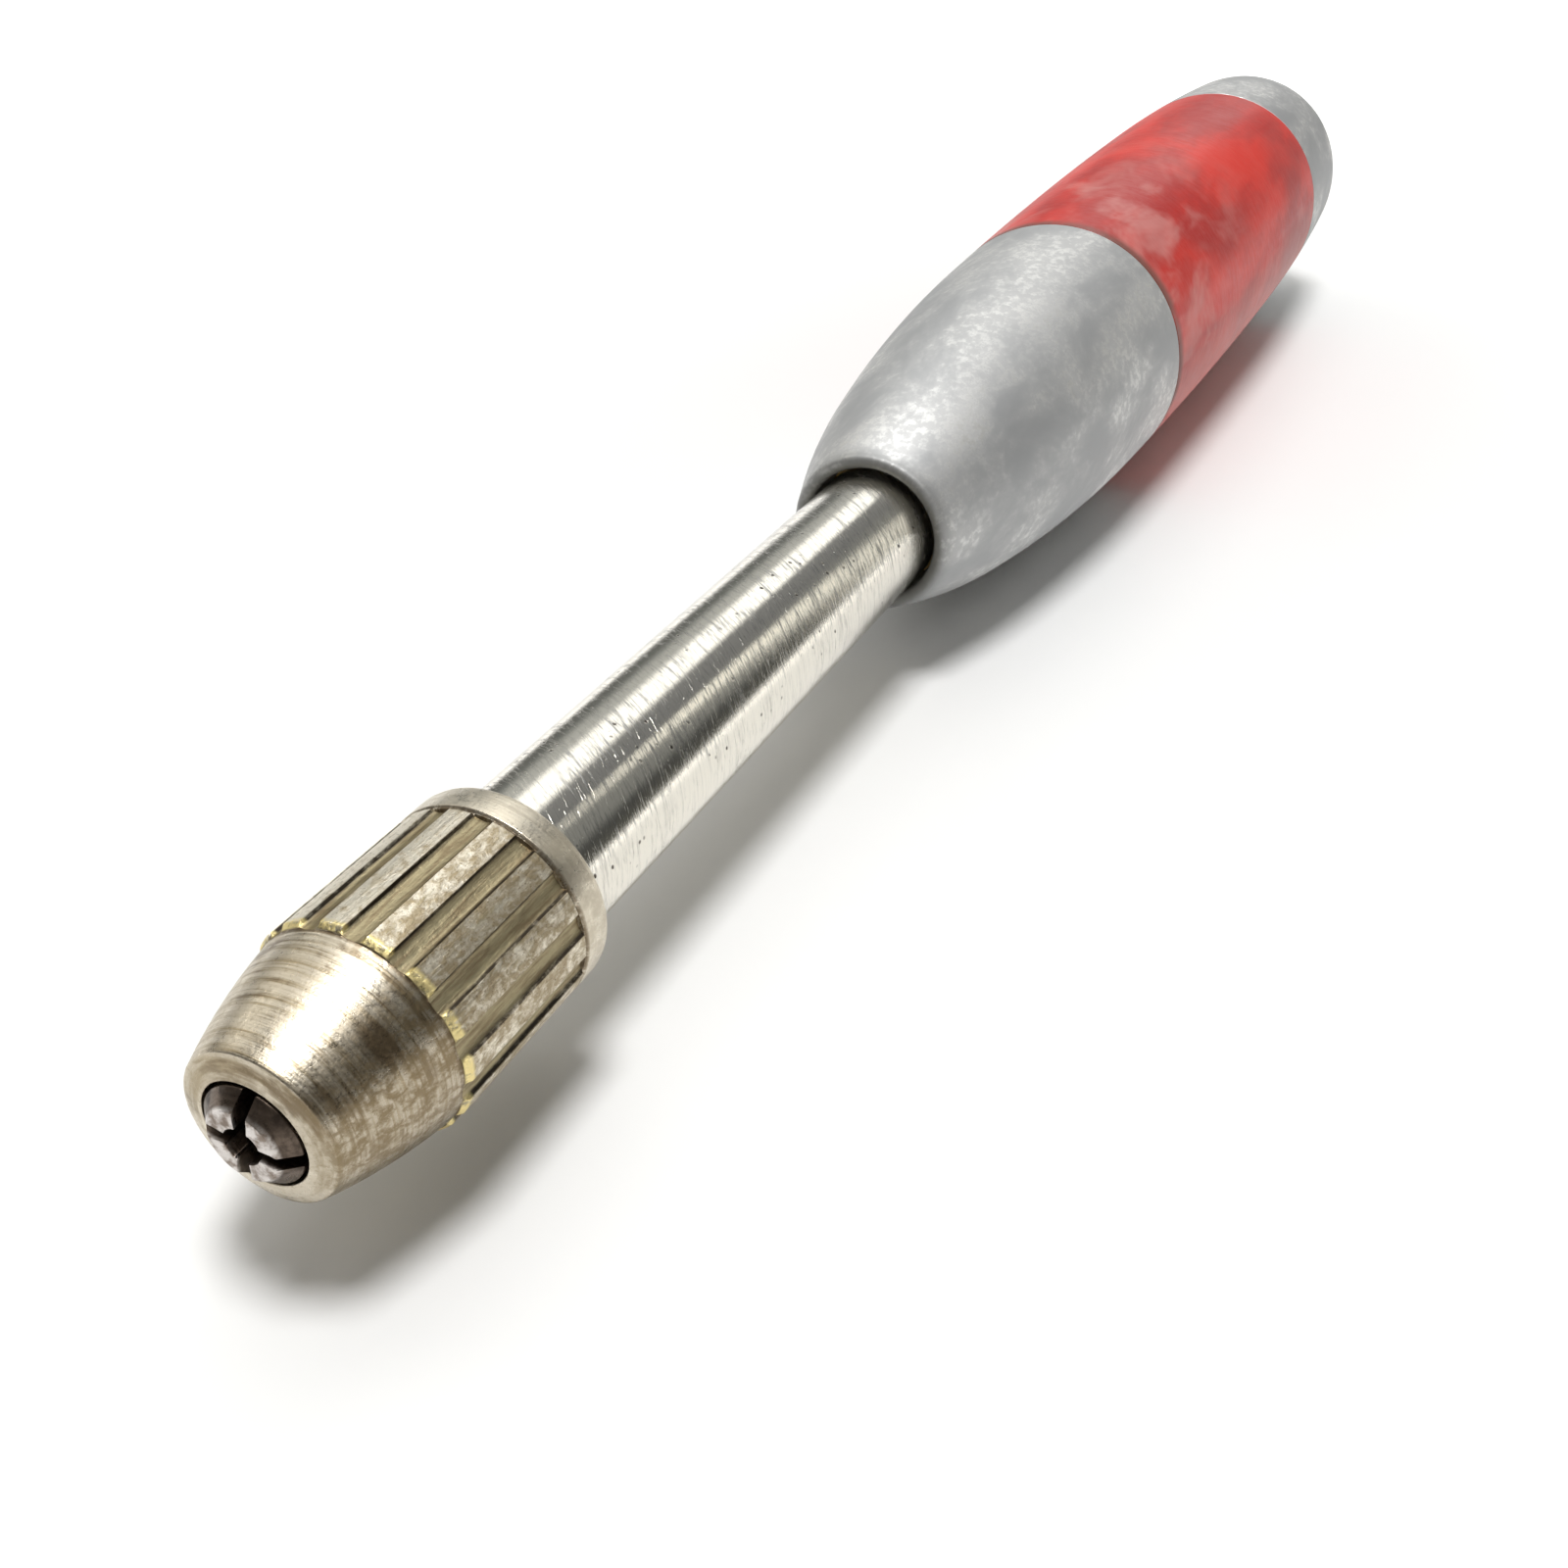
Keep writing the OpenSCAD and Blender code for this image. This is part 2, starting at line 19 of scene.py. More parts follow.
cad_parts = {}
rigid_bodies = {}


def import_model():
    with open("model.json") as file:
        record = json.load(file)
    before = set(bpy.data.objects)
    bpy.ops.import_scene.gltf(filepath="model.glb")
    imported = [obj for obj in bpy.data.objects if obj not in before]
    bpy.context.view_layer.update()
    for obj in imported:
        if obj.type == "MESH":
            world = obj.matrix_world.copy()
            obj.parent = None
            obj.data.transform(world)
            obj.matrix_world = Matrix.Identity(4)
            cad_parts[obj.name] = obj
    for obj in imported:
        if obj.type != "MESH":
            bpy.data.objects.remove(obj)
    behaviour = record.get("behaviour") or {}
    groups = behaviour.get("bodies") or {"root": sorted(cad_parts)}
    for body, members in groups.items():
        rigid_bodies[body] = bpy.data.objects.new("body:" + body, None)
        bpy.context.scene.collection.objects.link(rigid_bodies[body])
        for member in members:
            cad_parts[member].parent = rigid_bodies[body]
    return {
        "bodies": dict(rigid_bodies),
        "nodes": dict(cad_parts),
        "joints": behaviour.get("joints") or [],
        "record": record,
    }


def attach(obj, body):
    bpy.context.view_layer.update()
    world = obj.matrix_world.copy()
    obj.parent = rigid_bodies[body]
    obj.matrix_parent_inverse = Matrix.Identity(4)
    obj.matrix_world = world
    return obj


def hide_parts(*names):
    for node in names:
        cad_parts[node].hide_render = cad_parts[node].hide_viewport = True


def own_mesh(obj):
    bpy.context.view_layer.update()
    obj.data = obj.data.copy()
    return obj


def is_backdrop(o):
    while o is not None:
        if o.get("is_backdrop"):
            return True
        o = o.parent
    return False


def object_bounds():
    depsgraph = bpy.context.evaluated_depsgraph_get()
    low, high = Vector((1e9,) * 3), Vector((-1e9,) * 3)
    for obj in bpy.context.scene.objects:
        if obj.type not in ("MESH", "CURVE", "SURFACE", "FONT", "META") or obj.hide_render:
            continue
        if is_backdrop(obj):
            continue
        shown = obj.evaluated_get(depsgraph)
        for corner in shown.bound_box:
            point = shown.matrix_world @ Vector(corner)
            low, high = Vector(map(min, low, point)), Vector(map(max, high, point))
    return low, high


LOG = logging.getLogger("push_drill")
MM = 0.001
WELD = 2e-7
ROUND_STEPS = 3
Point = tuple[float, float]
Triple = tuple[float, float, float]
Colour = tuple[float, float, float]
Socket = bpy.types.NodeSocket
Piece = bpy.types.Object


class Slot(Enum):
    """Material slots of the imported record."""

    NICKEL = "nickel_plate"
    COLLET = "collet_steel"
    BRIGHT = "bright_plate"
    ALUMINIUM = "bare_aluminium"
    ENAMEL = "red_enamel"
    BRASS = "brass"
    BRONZE = "bronze"
    STEEL = "turned_steel"
    SPRING = "spring_steel"
    PRESSED = "pressed_steel"
    LEATHER = "leather"


class Body(Enum):
    """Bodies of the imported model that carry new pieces."""

    HANDLE = "handle"
    SPINDLE = "spindle"
    SLEEVE = "sleeve"
    LEAF_1 = "leaf_1"
    LEAF_2 = "leaf_2"
    LEAF_3 = "leaf_3"
    LEAF_4 = "leaf_4"


# Shapes


def arc_points(centre: Point, radius: float, start: float, end: float, steps: int) -> list[Point]:
    """Points of an arc in the half section.

    Args:
        centre: Station and r of the arc's middle.
        radius: Radius of the arc.
        start: First angle in degrees, from the outward direction towards the tail.
        end: Last angle in degrees.
        steps: Number of spans.

    Returns:
        The points as (station, r).
    """
    points = []
    for i in range(steps + 1):
        a = math.radians(start + (end - start) * i / steps)
        points.append((centre[0] + radius * math.sin(a), centre[1] + radius * math.cos(a)))
    return points


def rounded(corners: Sequence[Triple]) -> list[Point]:
    """Closed outline with each corner rounded by its own radius.

    Args:
        corners: Station, r and rounding of each corner.

    Returns:
        The outline's points in order.
    """
    points: list[Point] = []
    count = len(corners)
    for i, (y, r, bend) in enumerate(corners):
        here = Vector((y, r))
        if bend <= 0:
            points.append((y, r))
            continue
        back = (Vector(corners[i - 1][:2]) - here).normalized()
        on = (Vector(corners[(i + 1) % count][:2]) - here).normalized()
        half = back.angle(on) / 2
        reach = bend / math.tan(half)
        centre = here + (back + on).normalized() * (bend / math.sin(half))
        first, last = here + back * reach - centre, here + on * reach - centre
        sweep = first.angle_signed(last)
        for k in range(ROUND_STEPS + 1):
            ray = Matrix.Rotation(-sweep * k / ROUND_STEPS, 2) @ first
            points.append((centre.x + ray.x, centre.y + ray.y))
    return points


def deselect() -> None:
    """Select nothing."""
    bpy.ops.object.select_all(action="DESELECT")


def pick(obj: Piece) -> None:
    """Select one piece alone and make it the active one.

    Args:
        obj: The piece.
    """
    deselect()
    obj.select_set(True)
    bpy.context.view_layer.objects.active = obj


def edit(work: Callable[[], None]) -> None:
    """Run some work in edit mode on the active piece.

    Args:
        work: What is done there.
    """
    bpy.ops.object.mode_set(mode="EDIT")
    work()
    bpy.ops.object.mode_set(mode="OBJECT")


def draw_outline(name: str, outline: Sequence[Point], closed: bool) -> Piece:
    """Draw a half section by extruding one point along it.

    Args:
        name: Name of the new piece.
        outline: Points as (station, r) in millimetres.
        closed: Whether the last point joins the first.

    Returns:
        The new piece, active and selected, with its edges in the plane of +X and +Y.
    """
    deselect()
    bpy.ops.mesh.primitive_plane_add(size=MM, location=(0, 0, 0))
    obj = bpy.context.object
    obj.name = obj.data.name = name
    start = Vector((outline[0][1] * MM, outline[0][0] * MM, 0))

    def work() -> None:
        """Merge the plane to a point, move it to the start and extrude it on."""
        bpy.ops.mesh.merge(type="CENTER")
        bpy.ops.transform.translate(value=start)
        here = start
        path = list(outline[1:]) + ([outline[0]] if closed else [])
        for y, r in path:
            there = Vector((r * MM, y * MM, 0))
            bpy.ops.mesh.extrude_region_move(TRANSFORM_OT_translate={"value": there - here})
            here = there

    edit(work)
    return obj


def turn(name: str, outline: Sequence[Point], columns: int, closed: bool = True) -> Piece:
    """Turn a half section about the tool's axis.

    Args:
        name: Name of the new piece.
        outline: Points as (station, r) in millimetres.
        columns: Faces round the axis.
        closed: Whether the outline closes on itself, for a piece with a bore.

    Returns:
        The turned piece, with its normals outwards.
    """
    obj = draw_outline(name, outline, closed)

    def work() -> None:
        """Spin the outline once round and join where it meets."""
        bpy.ops.mesh.select_all(action="SELECT")
        bpy.ops.mesh.spin(steps=columns, angle=math.tau, center=(0, 0, 0), axis=(0, 1, 0))
        bpy.ops.mesh.select_all(action="SELECT")
        bpy.ops.mesh.remove_doubles(threshold=WELD)
        bpy.ops.mesh.normals_make_consistent(inside=False)

    edit(work)
    return obj


def select_vertices(obj: Piece, chosen: set[int]) -> None:
    """Select some vertices and nothing else, in edit mode.

    Args:
        obj: The piece, open in edit mode.
        chosen: The vertices' indices.
    """
    mesh = bmesh.from_edit_mesh(obj.data)
    mesh.select_mode = {"VERT"}
    for vertex in mesh.verts:
        vertex.select = vertex.index in chosen
    mesh.select_flush_mode()
    bmesh.update_edit_mesh(obj.data, loop_triangles=False, destructive=False)


def finish_mesh(obj: Piece, angle: float = 32) -> None:
    """Shade a piece smooth apart from its sharp edges.

    Args:
        obj: The piece.
        angle: Degrees past which an edge is sharp.
    """
    pick(obj)
    bpy.ops.object.shade_smooth_by_angle(angle=math.radians(angle))
    obj.select_set(False)


def apply_modifier(obj: Piece, kind: str, **settings: object) -> None:
    """Add a modifier, set it and apply it.

    Args:
        obj: The piece.
        kind: Blender's name of the modifier's type.
        settings: Its settings.
    """
    pick(obj)
    modifier = obj.modifiers.new(kind.lower(), kind)
    for key, value in settings.items():
        setattr(modifier, key, value)
    bpy.ops.object.modifier_apply(modifier=modifier.name)


# Materials


class Tree:
    """Small hand for drawing a node tree."""

    def __init__(self, tree: bpy.types.NodeTree) -> None:
        """Take up a node tree."""
        self.tree = tree

    def add(self, kind: str, **settings: object) -> bpy.types.Node:
        """Add a node.

        Args:
            kind: The node's type, without ShaderNode in front.
            settings: Its options.

        Returns:
            The new node.
        """
        node = self.tree.nodes.new("ShaderNode" + kind)
        for key, value in settings.items():
            setattr(node, key, value)
        return node

    def plug(self, socket: Socket, value: object) -> None:
        """Link a socket to another, or set its value.

        Args:
            socket: The socket that takes the value.
            value: Another socket, a number, a colour or a vector.
        """
        if isinstance(value, Socket):
            self.tree.links.new(value, socket)
        elif isinstance(value, tuple) and len(value) == 3 and socket.type == "RGBA":
            socket.default_value = (*value, 1)
        else:
            socket.default_value = value

    def math(self, operation: str, a: object, b: object = 0.0, c: object = 0.0) -> Socket:
        """Values joined by a Math node.

        Args:
            operation: The node's operation.
            a: First socket or number.
            b: Second one.
            c: Third one.

        Returns:
            The result.
        """
        node = self.add("Math", operation=operation)
        for socket, value in zip(node.inputs, (a, b, c)):
            self.plug(socket, value)
        return node.outputs[0]

    def span(self, value: object, low: float, high: float, to_low: float = 0, to_high: float = 1) -> Socket:
        """Value mapped smoothly and clamped from one range to another.

        Args:
            value: The value.
            low: Where the first range begins.
            high: Where it ends.
            to_low: Result at its beginning.
            to_high: Result at its end.

        Returns:
            The mapped value.
        """
        node = self.add("MapRange", interpolation_type="SMOOTHSTEP")
        for socket, v in zip(node.inputs, (value, low, high, to_low, to_high)):
            self.plug(socket, v)
        return node.outputs[0]

    def mix(self, share: object, a: object, b: object) -> Socket:
        """Two colours mixed.

        Args:
            share: How much of the second there is.
            a: First colour.
            b: Second colour.

        Returns:
            The mixed colour.
        """
        node = self.add("Mix", data_type="RGBA")
        self.plug(node.inputs["Factor"], share)
        self.plug(node.inputs[6], a)
        self.plug(node.inputs[7], b)
        return node.outputs[2]

    def place(
        self, vector: Socket, scale: Sequence[float], turned: Triple = (0, 0, 0), moved: Triple = (0, 0, 0)
    ) -> Socket:
        """Vector scaled, turned and moved by a Mapping node.

        Args:
            vector: The vector.
            scale: Scale along each axis.
            turned: Angle about each axis.
            moved: Shift along each axis.

        Returns:
            The new vector.
        """
        node = self.add("Mapping")
        self.plug(node.inputs["Vector"], vector)
        for socket, value in (("Scale", scale), ("Rotation", turned), ("Location", moved)):
            node.inputs[socket].default_value = value
        return node.outputs[0]

    def length(self, vector: Socket) -> Socket:
        """Length of a vector.

        Args:
            vector: The vector.

        Returns:
            Its length.
        """
        node = self.add("VectorMath", operation="LENGTH")
        self.plug(node.inputs[0], vector)
        return node.outputs["Value"]

    def split(self, vector: Socket) -> tuple[Socket, Socket, Socket]:
        """The three parts of a vector.

        Args:
            vector: The vector.

        Returns:
            Its X, Y and Z.
        """
        node = self.add("SeparateXYZ")
        self.plug(node.inputs[0], vector)
        return tuple(node.outputs)


class Nodes(Tree):
    """One material's nodes, on Object coordinates in millimetres."""

    def __init__(self, name: str) -> None:
        """Start a material with a principled shader.

        Args:
            name: The material's name.
        """
        self.material = bpy.data.materials.new(name)
        self.material.use_nodes = True
        super().__init__(self.material.node_tree)
        self.shader = self.tree.nodes["Principled BSDF"]
        self.millimetres = self.place(self.add("TexCoord").outputs["Object"], (1 / MM, 1 / MM, 1 / MM))
        self.x, self.y, self.z = self.split(self.millimetres)

    def noise(
        self,
        scale: Sequence[float],
        detail: float = 4,
        rough: float = 0.55,
        seed: float = 0,
        warp: float = 0,
        lean: float = 0,
    ) -> Socket:
        """Noise with its own scale along each axis.

        Args:
            scale: Cells to the millimetre along X, Y and Z.
            detail: Octaves.
            rough: Strength of the finer octaves.
            seed: Offset into the pattern.
            warp: Distortion.
            lean: Degrees the pattern is turned about Z.

        Returns:
            The noise's value.
        """
        node = self.add("TexNoise", noise_dimensions="4D")
        vector = self.millimetres
        if lean:
            vector = self.place(vector, (1, 1, 1), (0, 0, math.radians(lean)))
        self.plug(node.inputs["Vector"], self.place(vector, scale))
        values = {"W": seed, "Scale": 1, "Detail": detail, "Roughness": rough, "Distortion": warp}
        for socket, value in values.items():
            node.inputs[socket].default_value = value
        return node.outputs["Fac"]

    def cells(self, scale: Sequence[float], feature: str = "F1") -> Socket:
        """Distance pattern of scattered points, for pits and grain.

        Args:
            scale: Points to the millimetre along X, Y and Z.
            feature: Kind of distance.

        Returns:
            The distance from the nearest point.
        """
        node = self.add("TexVoronoi", feature=feature)
        self.plug(node.inputs["Vector"], self.place(self.millimetres, scale))
        node.inputs["Scale"].default_value = 1
        return node.outputs["Distance"]

    def radius(self) -> Socket:
        """Distance from the tool's axis in millimetres."""
        return self.math("SQRT", self.math("MULTIPLY_ADD", self.x, self.x, self.math("MULTIPLY", self.z, self.z)))

    def near(self, point: Triple, reach: Triple) -> Socket:
        """Distance from a point, 1 at the reach along each axis.

        Args:
            point: The point in millimetres.
            reach: Reach along each axis in millimetres.

        Returns:
            The distance.
        """
        scale = tuple(1 / r for r in reach)
        moved = tuple(-p / r for p, r in zip(point, reach))
        return self.length(self.place(self.millimetres, scale, moved=moved))

    def height(self, value: Socket, depth: float) -> None:
        """Add a height to the surface.

        Args:
            value: The height's pattern.
            depth: Millimetres that the surface rises where the pattern is 1.
        """
        node = self.add("Bump")
        node.inputs["Distance"].default_value = depth * MM
        self.plug(node.inputs["Height"], value)
        old = self.shader.inputs["Normal"]
        if old.is_linked:
            self.plug(node.inputs["Normal"], old.links[0].from_socket)
        self.plug(old, node.outputs[0])

    def set(self, socket: str, value: object) -> None:
        """Set or link one of the shader's sockets."""
        self.plug(self.shader.inputs[socket], value)


@dataclass(frozen=True)
class Finish:
    """A finish that can be put on pieces."""

    slot: Slot

    def draw(self, nodes: Nodes) -> None:
        """Draw the finish's nodes."""
        raise NotImplementedError

    def material(self) -> bpy.types.Material:
        """The finish as a new material.

        Returns:
            The material, under its slot's name.
        """
        nodes = Nodes(self.slot.value)
        self.draw(nodes)
        return nodes.material


@dataclass(frozen=True)
class NickelPlate(Finish):
    """Worn nickel over brass: turned nose with stains and a painted shade on its right, grooves with grit and
    painted shade along their edges, lands with a painted highlight on the left, brass at the land ends.
    """

    slot: Slot = Slot.NICKEL
    plate: Colour = (0.62, 0.555, 0.445)
    pale: Colour = (0.85, 0.79, 0.66)
    tarnish: Colour = (0.17, 0.125, 0.075)
    brown: Colour = (0.38, 0.31, 0.20)
    olive: Colour = (0.44, 0.38, 0.235)
    umber: Colour = (0.25, 0.19, 0.11)
    brass: Colour = (0.88, 0.74, 0.36)
    soot_and_shade: Colour = (0.05, 0.04, 0.03)
    ridges: Point = (7.93, 18.25)
    chamfer_end: float = 8.32
    floor_r: float = 5.90
    land_r: float = 6.14
    stain_at: Triple = (4.0, 5.0, 3.4)
    stain_reach: Triple = (1.5, 1.1, 1.7)

    def draw(self, nodes: Nodes) -> None:
        """Draw the plate zone by zone along the sleeve.

        Args:
            nodes: The new material's nodes.
        """
        calc, span, mix, y = nodes.math, nodes.span, nodes.mix, nodes.y
        lines = nodes.noise((0.16, 4.6, 0.16), detail=6, rough=0.6, seed=1)
        broad = nodes.noise((0.22, 1.3, 0.22), detail=4, rough=0.6, seed=8)
        patches = nodes.noise((0.3, 0.42, 0.3), detail=4, rough=0.6, seed=2.4, warp=0.5)
        mottle = nodes.noise((2.0, 1.3, 2.0), detail=5, rough=0.7, seed=3, warp=0.3)
        speckle = nodes.noise((6.0, 4.5, 6.0), detail=3, rough=0.7, seed=4)
        streak = nodes.noise((4.0, 0.35, 4.0), detail=4, rough=0.6, seed=7)
        first, last = self.ridges
        on_ridges = calc("MULTIPLY", span(y, first, first + 0.06), span(y, last + 0.06, last))
        radius = nodes.radius()
        sunk = calc("MULTIPLY", on_ridges, span(radius, self.land_r, self.floor_r))
        above = span(radius, self.floor_r - 0.02, self.floor_r + 0.1)
        flank = calc("MULTIPLY", span(radius, self.land_r + 0.03, self.land_r - 0.03), above)
        # Nose: soft turned lines, a dark stain at its right, fine specks low down
        nose = mix(span(lines, 0.42, 0.66, 0, 0.95), self.plate, self.brown)
        nose = mix(span(broad, 0.52, 0.70, 0, 0.5), nose, self.pale)
        dark = calc("MULTIPLY_ADD", lines, 0.5, calc("MULTIPLY", patches, 0.8))
        nose = mix(span(dark, 0.67, 0.80, 0, 0.8), nose, self.tarnish)
        nose = mix(span(calc("ADD", speckle, mottle), 1.06, 1.25, 0, 0.5), nose, self.brown)
        # Painted shade: the nose's right side turns darker umber, broken up by real speckled grain
        right = calc("MULTIPLY", span(nodes.x, 2.4, 4.6), span(mottle, 0.40, 0.58, 0.3, 0.95))
        nose = mix(right, nose, self.umber)
        nose = mix(span(y, last - 0.1, last + 0.1, 0, 0.55), nose, self.pale)
        stain = calc("MULTIPLY_ADD", lines, -0.9, nodes.near(self.stain_at, self.stain_reach))
        nose = mix(span(stain, 0.65, -0.1, 0, 0.92), nose, self.tarnish)
        # Lands: pale warm plate with low mottling and a few dark specks, paler towards the left as a painted
        # highlight
        mottle_and_left_highlight = calc("ADD", mottle, span(nodes.x, 3.5, -2.5, 0.05, -0.12))
        land = mix(span(mottle_and_left_highlight, 0.36, 0.64), self.pale, self.brown)
        land = mix(span(streak, 0.52, 0.72, 0, 0.5), land, self.olive)
        land = mix(span(speckle, 0.54, 0.68, 0, 0.6), land, self.tarnish)
        # Grooves: yellowish metal, darker along both edges from grit and painted shade
        groove = mix(span(streak, 0.40, 0.66, 0.1, 0.9), self.olive, self.umber)
        edge = calc("MULTIPLY", flank, span(calc("ADD", streak, mottle), 0.72, 1.06, 0.4, 1))
        colour = mix(on_ridges, nose, land)
        colour = mix(sunk, colour, groove)
        colour = mix(calc("MULTIPLY", on_ridges, edge), colour, self.soot_and_shade)
        # Land ends: plate rubbed through to the brass, and darker in the corners before and behind
        front = calc("MULTIPLY", on_ridges, span(y, self.chamfer_end + 0.3, self.chamfer_end))
        rub = calc("MULTIPLY", front, calc("MULTIPLY", span(mottle, 0.36, 0.54), above))
        colour = mix(rub, colour, self.brass)
        corner = calc("MULTIPLY", span(y, first + 0.1, first), span(y, first - 0.25, first - 0.05))
        ring = calc("MULTIPLY", span(y, last - 0.1, last + 0.05), span(y, last + 0.3, last + 0.12))
        darkening_at_steps = calc("MULTIPLY", calc("MAXIMUM", corner, ring), span(mottle, 0.36, 0.56, 0.3, 0.9))
        nodes.set("Base Color", mix(darkening_at_steps, colour, self.tarnish))
        nodes.set("Metallic", 1.0)
        rough = span(calc("ADD", mottle, speckle), 0.7, 1.3, 0.32, 0.56)
        nodes.set("Roughness", calc("MULTIPLY_ADD", calc("SUBTRACT", on_ridges, 1.0), 0.09, rough))
        nodes.height(calc("MULTIPLY", lines, calc("SUBTRACT", 1.0, on_ridges)), 0.03)
        nodes.height(calc("MULTIPLY", mottle, on_ridges), 0.06)
        nodes.height(calc("MULTIPLY", streak, on_ridges), 0.05)
        nodes.height(speckle, 0.015)


@dataclass(frozen=True)
class ColletSteel(Finish):
    """Greyed steel of the jaws, worn on the face and dull on the cone."""

    slot: Slot = Slot.COLLET
    worn_grey: Colour = (0.66, 0.62, 0.59)
    worn_brown: Colour = (0.24, 0.19, 0.155)
    dull_brown: Colour = (0.15, 0.115, 0.09)
    dull_black: Colour = (0.05, 0.038, 0.03)
    face: Point = (0.25, 0.06)

    def draw(self, nodes: Nodes) -> None:
        """Draw handled steel with brown in its hollows.

        Args:
            nodes: The new material's nodes.
        """
        lines = nodes.noise((1.2, 8, 1.2), detail=4, seed=5)
        patches = nodes.noise((1.3, 1.3, 1.3), detail=4, rough=0.6, seed=6)
        worn = nodes.mix(nodes.span(patches, 0.42, 0.62), self.worn_grey, self.worn_brown)
        dull = nodes.mix(nodes.span(patches, 0.4, 0.66), self.dull_brown, self.dull_black)
        nodes.set("Base Color", nodes.mix(nodes.span(nodes.y, *self.face), dull, worn))
        nodes.set("Metallic", 1.0)
        nodes.set("Roughness", nodes.span(nodes.math("ADD", lines, patches), 0.7, 1.3, 0.24, 0.5))
        nodes.height(lines, 0.012)
        nodes.height(patches, 0.02)


@dataclass(frozen=True)
class BrightPlate(Finish):
    """Bright plated tube with hairline scratches across it and small pits."""

    slot: Slot = Slot.BRIGHT
    plate: Colour = (0.82, 0.785, 0.70)
    dull: Colour = (0.26, 0.26, 0.255)
    pit: Colour = (0.10, 0.085, 0.07)
    shaded_side: Point = (0.105, 0.182)

    def draw(self, nodes: Nodes) -> None:
        """Draw the plate, its scratches and its pits.

        Args:
            nodes: The new material's nodes.
        """
        calc, span = nodes.math, nodes.span
        hair = nodes.noise((0.8, 8, 0.8), detail=5, rough=0.7, seed=11, lean=24)
        slant = nodes.noise((0.5, 5.0, 0.5), detail=5, rough=0.7, seed=13, warp=0.3, lean=30)
        haze = nodes.noise((0.4, 0.25, 0.4), detail=5, rough=0.6, seed=12)
        worn = calc("MULTIPLY", span(slant, 0.48, 0.62), span(haze, 0.36, 0.58, 0.3, 1))
        pits = nodes.cells((1.1, 1.1, 1.1))
        speck = calc("MULTIPLY", span(pits, 0.17, 0.08), span(haze, 0.46, 0.58))
        scratch = span(nodes.noise((0.5, 9, 0.5), detail=3, rough=0.6, seed=14, lean=36), 0.60, 0.68)
        # Wear all round, with the dull colour strongest along the upper right side, partly wear and partly
        # painted shade
        across, up = self.shaded_side
        top = calc("MULTIPLY_ADD", nodes.x, across, calc("MULTIPLY", nodes.z, up))
        rubbed = calc("MULTIPLY", worn, span(top, 0.70, 0.95, 0.45, 1.0))
        colour = nodes.mix(calc("MULTIPLY", rubbed, 0.85), self.plate, self.dull)
        colour = nodes.mix(calc("MULTIPLY", scratch, 0.22), colour, self.dull)
        nodes.set("Base Color", nodes.mix(speck, colour, self.pit))
        nodes.set("Metallic", 1.0)
        nodes.set("Roughness", span(calc("ADD", hair, worn), 0.4, 1.4, 0.07, 0.30))
        for pattern, depth in ((hair, 0.008), (slant, 0.014), (scratch, -0.005), (speck, -0.02)):
            nodes.height(pattern, depth)


@dataclass(frozen=True)
class BareAluminium(Finish):
    """Polished aluminium gone satin, with painted shade inside the mouth."""

    slot: Slot = Slot.ALUMINIUM
    dim: Colour = (0.46, 0.465, 0.47)
    clear: Colour = (0.60, 0.60, 0.595)
    rubbed: Colour = (0.84, 0.835, 0.81)
    mouth_shade_colour: Colour = (0.17, 0.17, 0.16)
    mouth: float = 68.2

    def draw(self, nodes: Nodes) -> None:
        """Draw satin metal with brighter patches.

        Args:
            nodes: The new material's nodes.
        """
        calc, span = nodes.math, nodes.span
        blotch = nodes.noise((0.16, 0.09, 0.16), detail=5, rough=0.6, seed=21, warp=0.4)
        fine = nodes.noise((2.5, 6, 2.5), detail=4, seed=22)
        spots = nodes.noise((1.5, 1.2, 1.5), detail=4, rough=0.65, seed=23)
        share = calc("MULTIPLY", span(spots, 0.44, 0.64), span(blotch, 0.43, 0.60))
        colour = nodes.mix(span(blotch, 0.36, 0.64), self.dim, self.clear)
        colour = nodes.mix(calc("MULTIPLY", share, 0.6), colour, self.rubbed)
        # Painted shade: the lip and bore inside the mouth are darkened
        inside = span(nodes.y, self.mouth + 2.6, self.mouth + 0.6)
        lip = calc("MULTIPLY", span(nodes.radius(), 6.6, 5.5), inside)
        nodes.set("Base Color", nodes.mix(calc("MULTIPLY", lip, 0.8), colour, self.mouth_shade_colour))
        nodes.set("Metallic", 1.0)
        nodes.set("Roughness", span(share, 0.0, 1.0, 0.66, 0.5))
        nodes.height(fine, 0.008)
        nodes.height(blotch, 0.03)


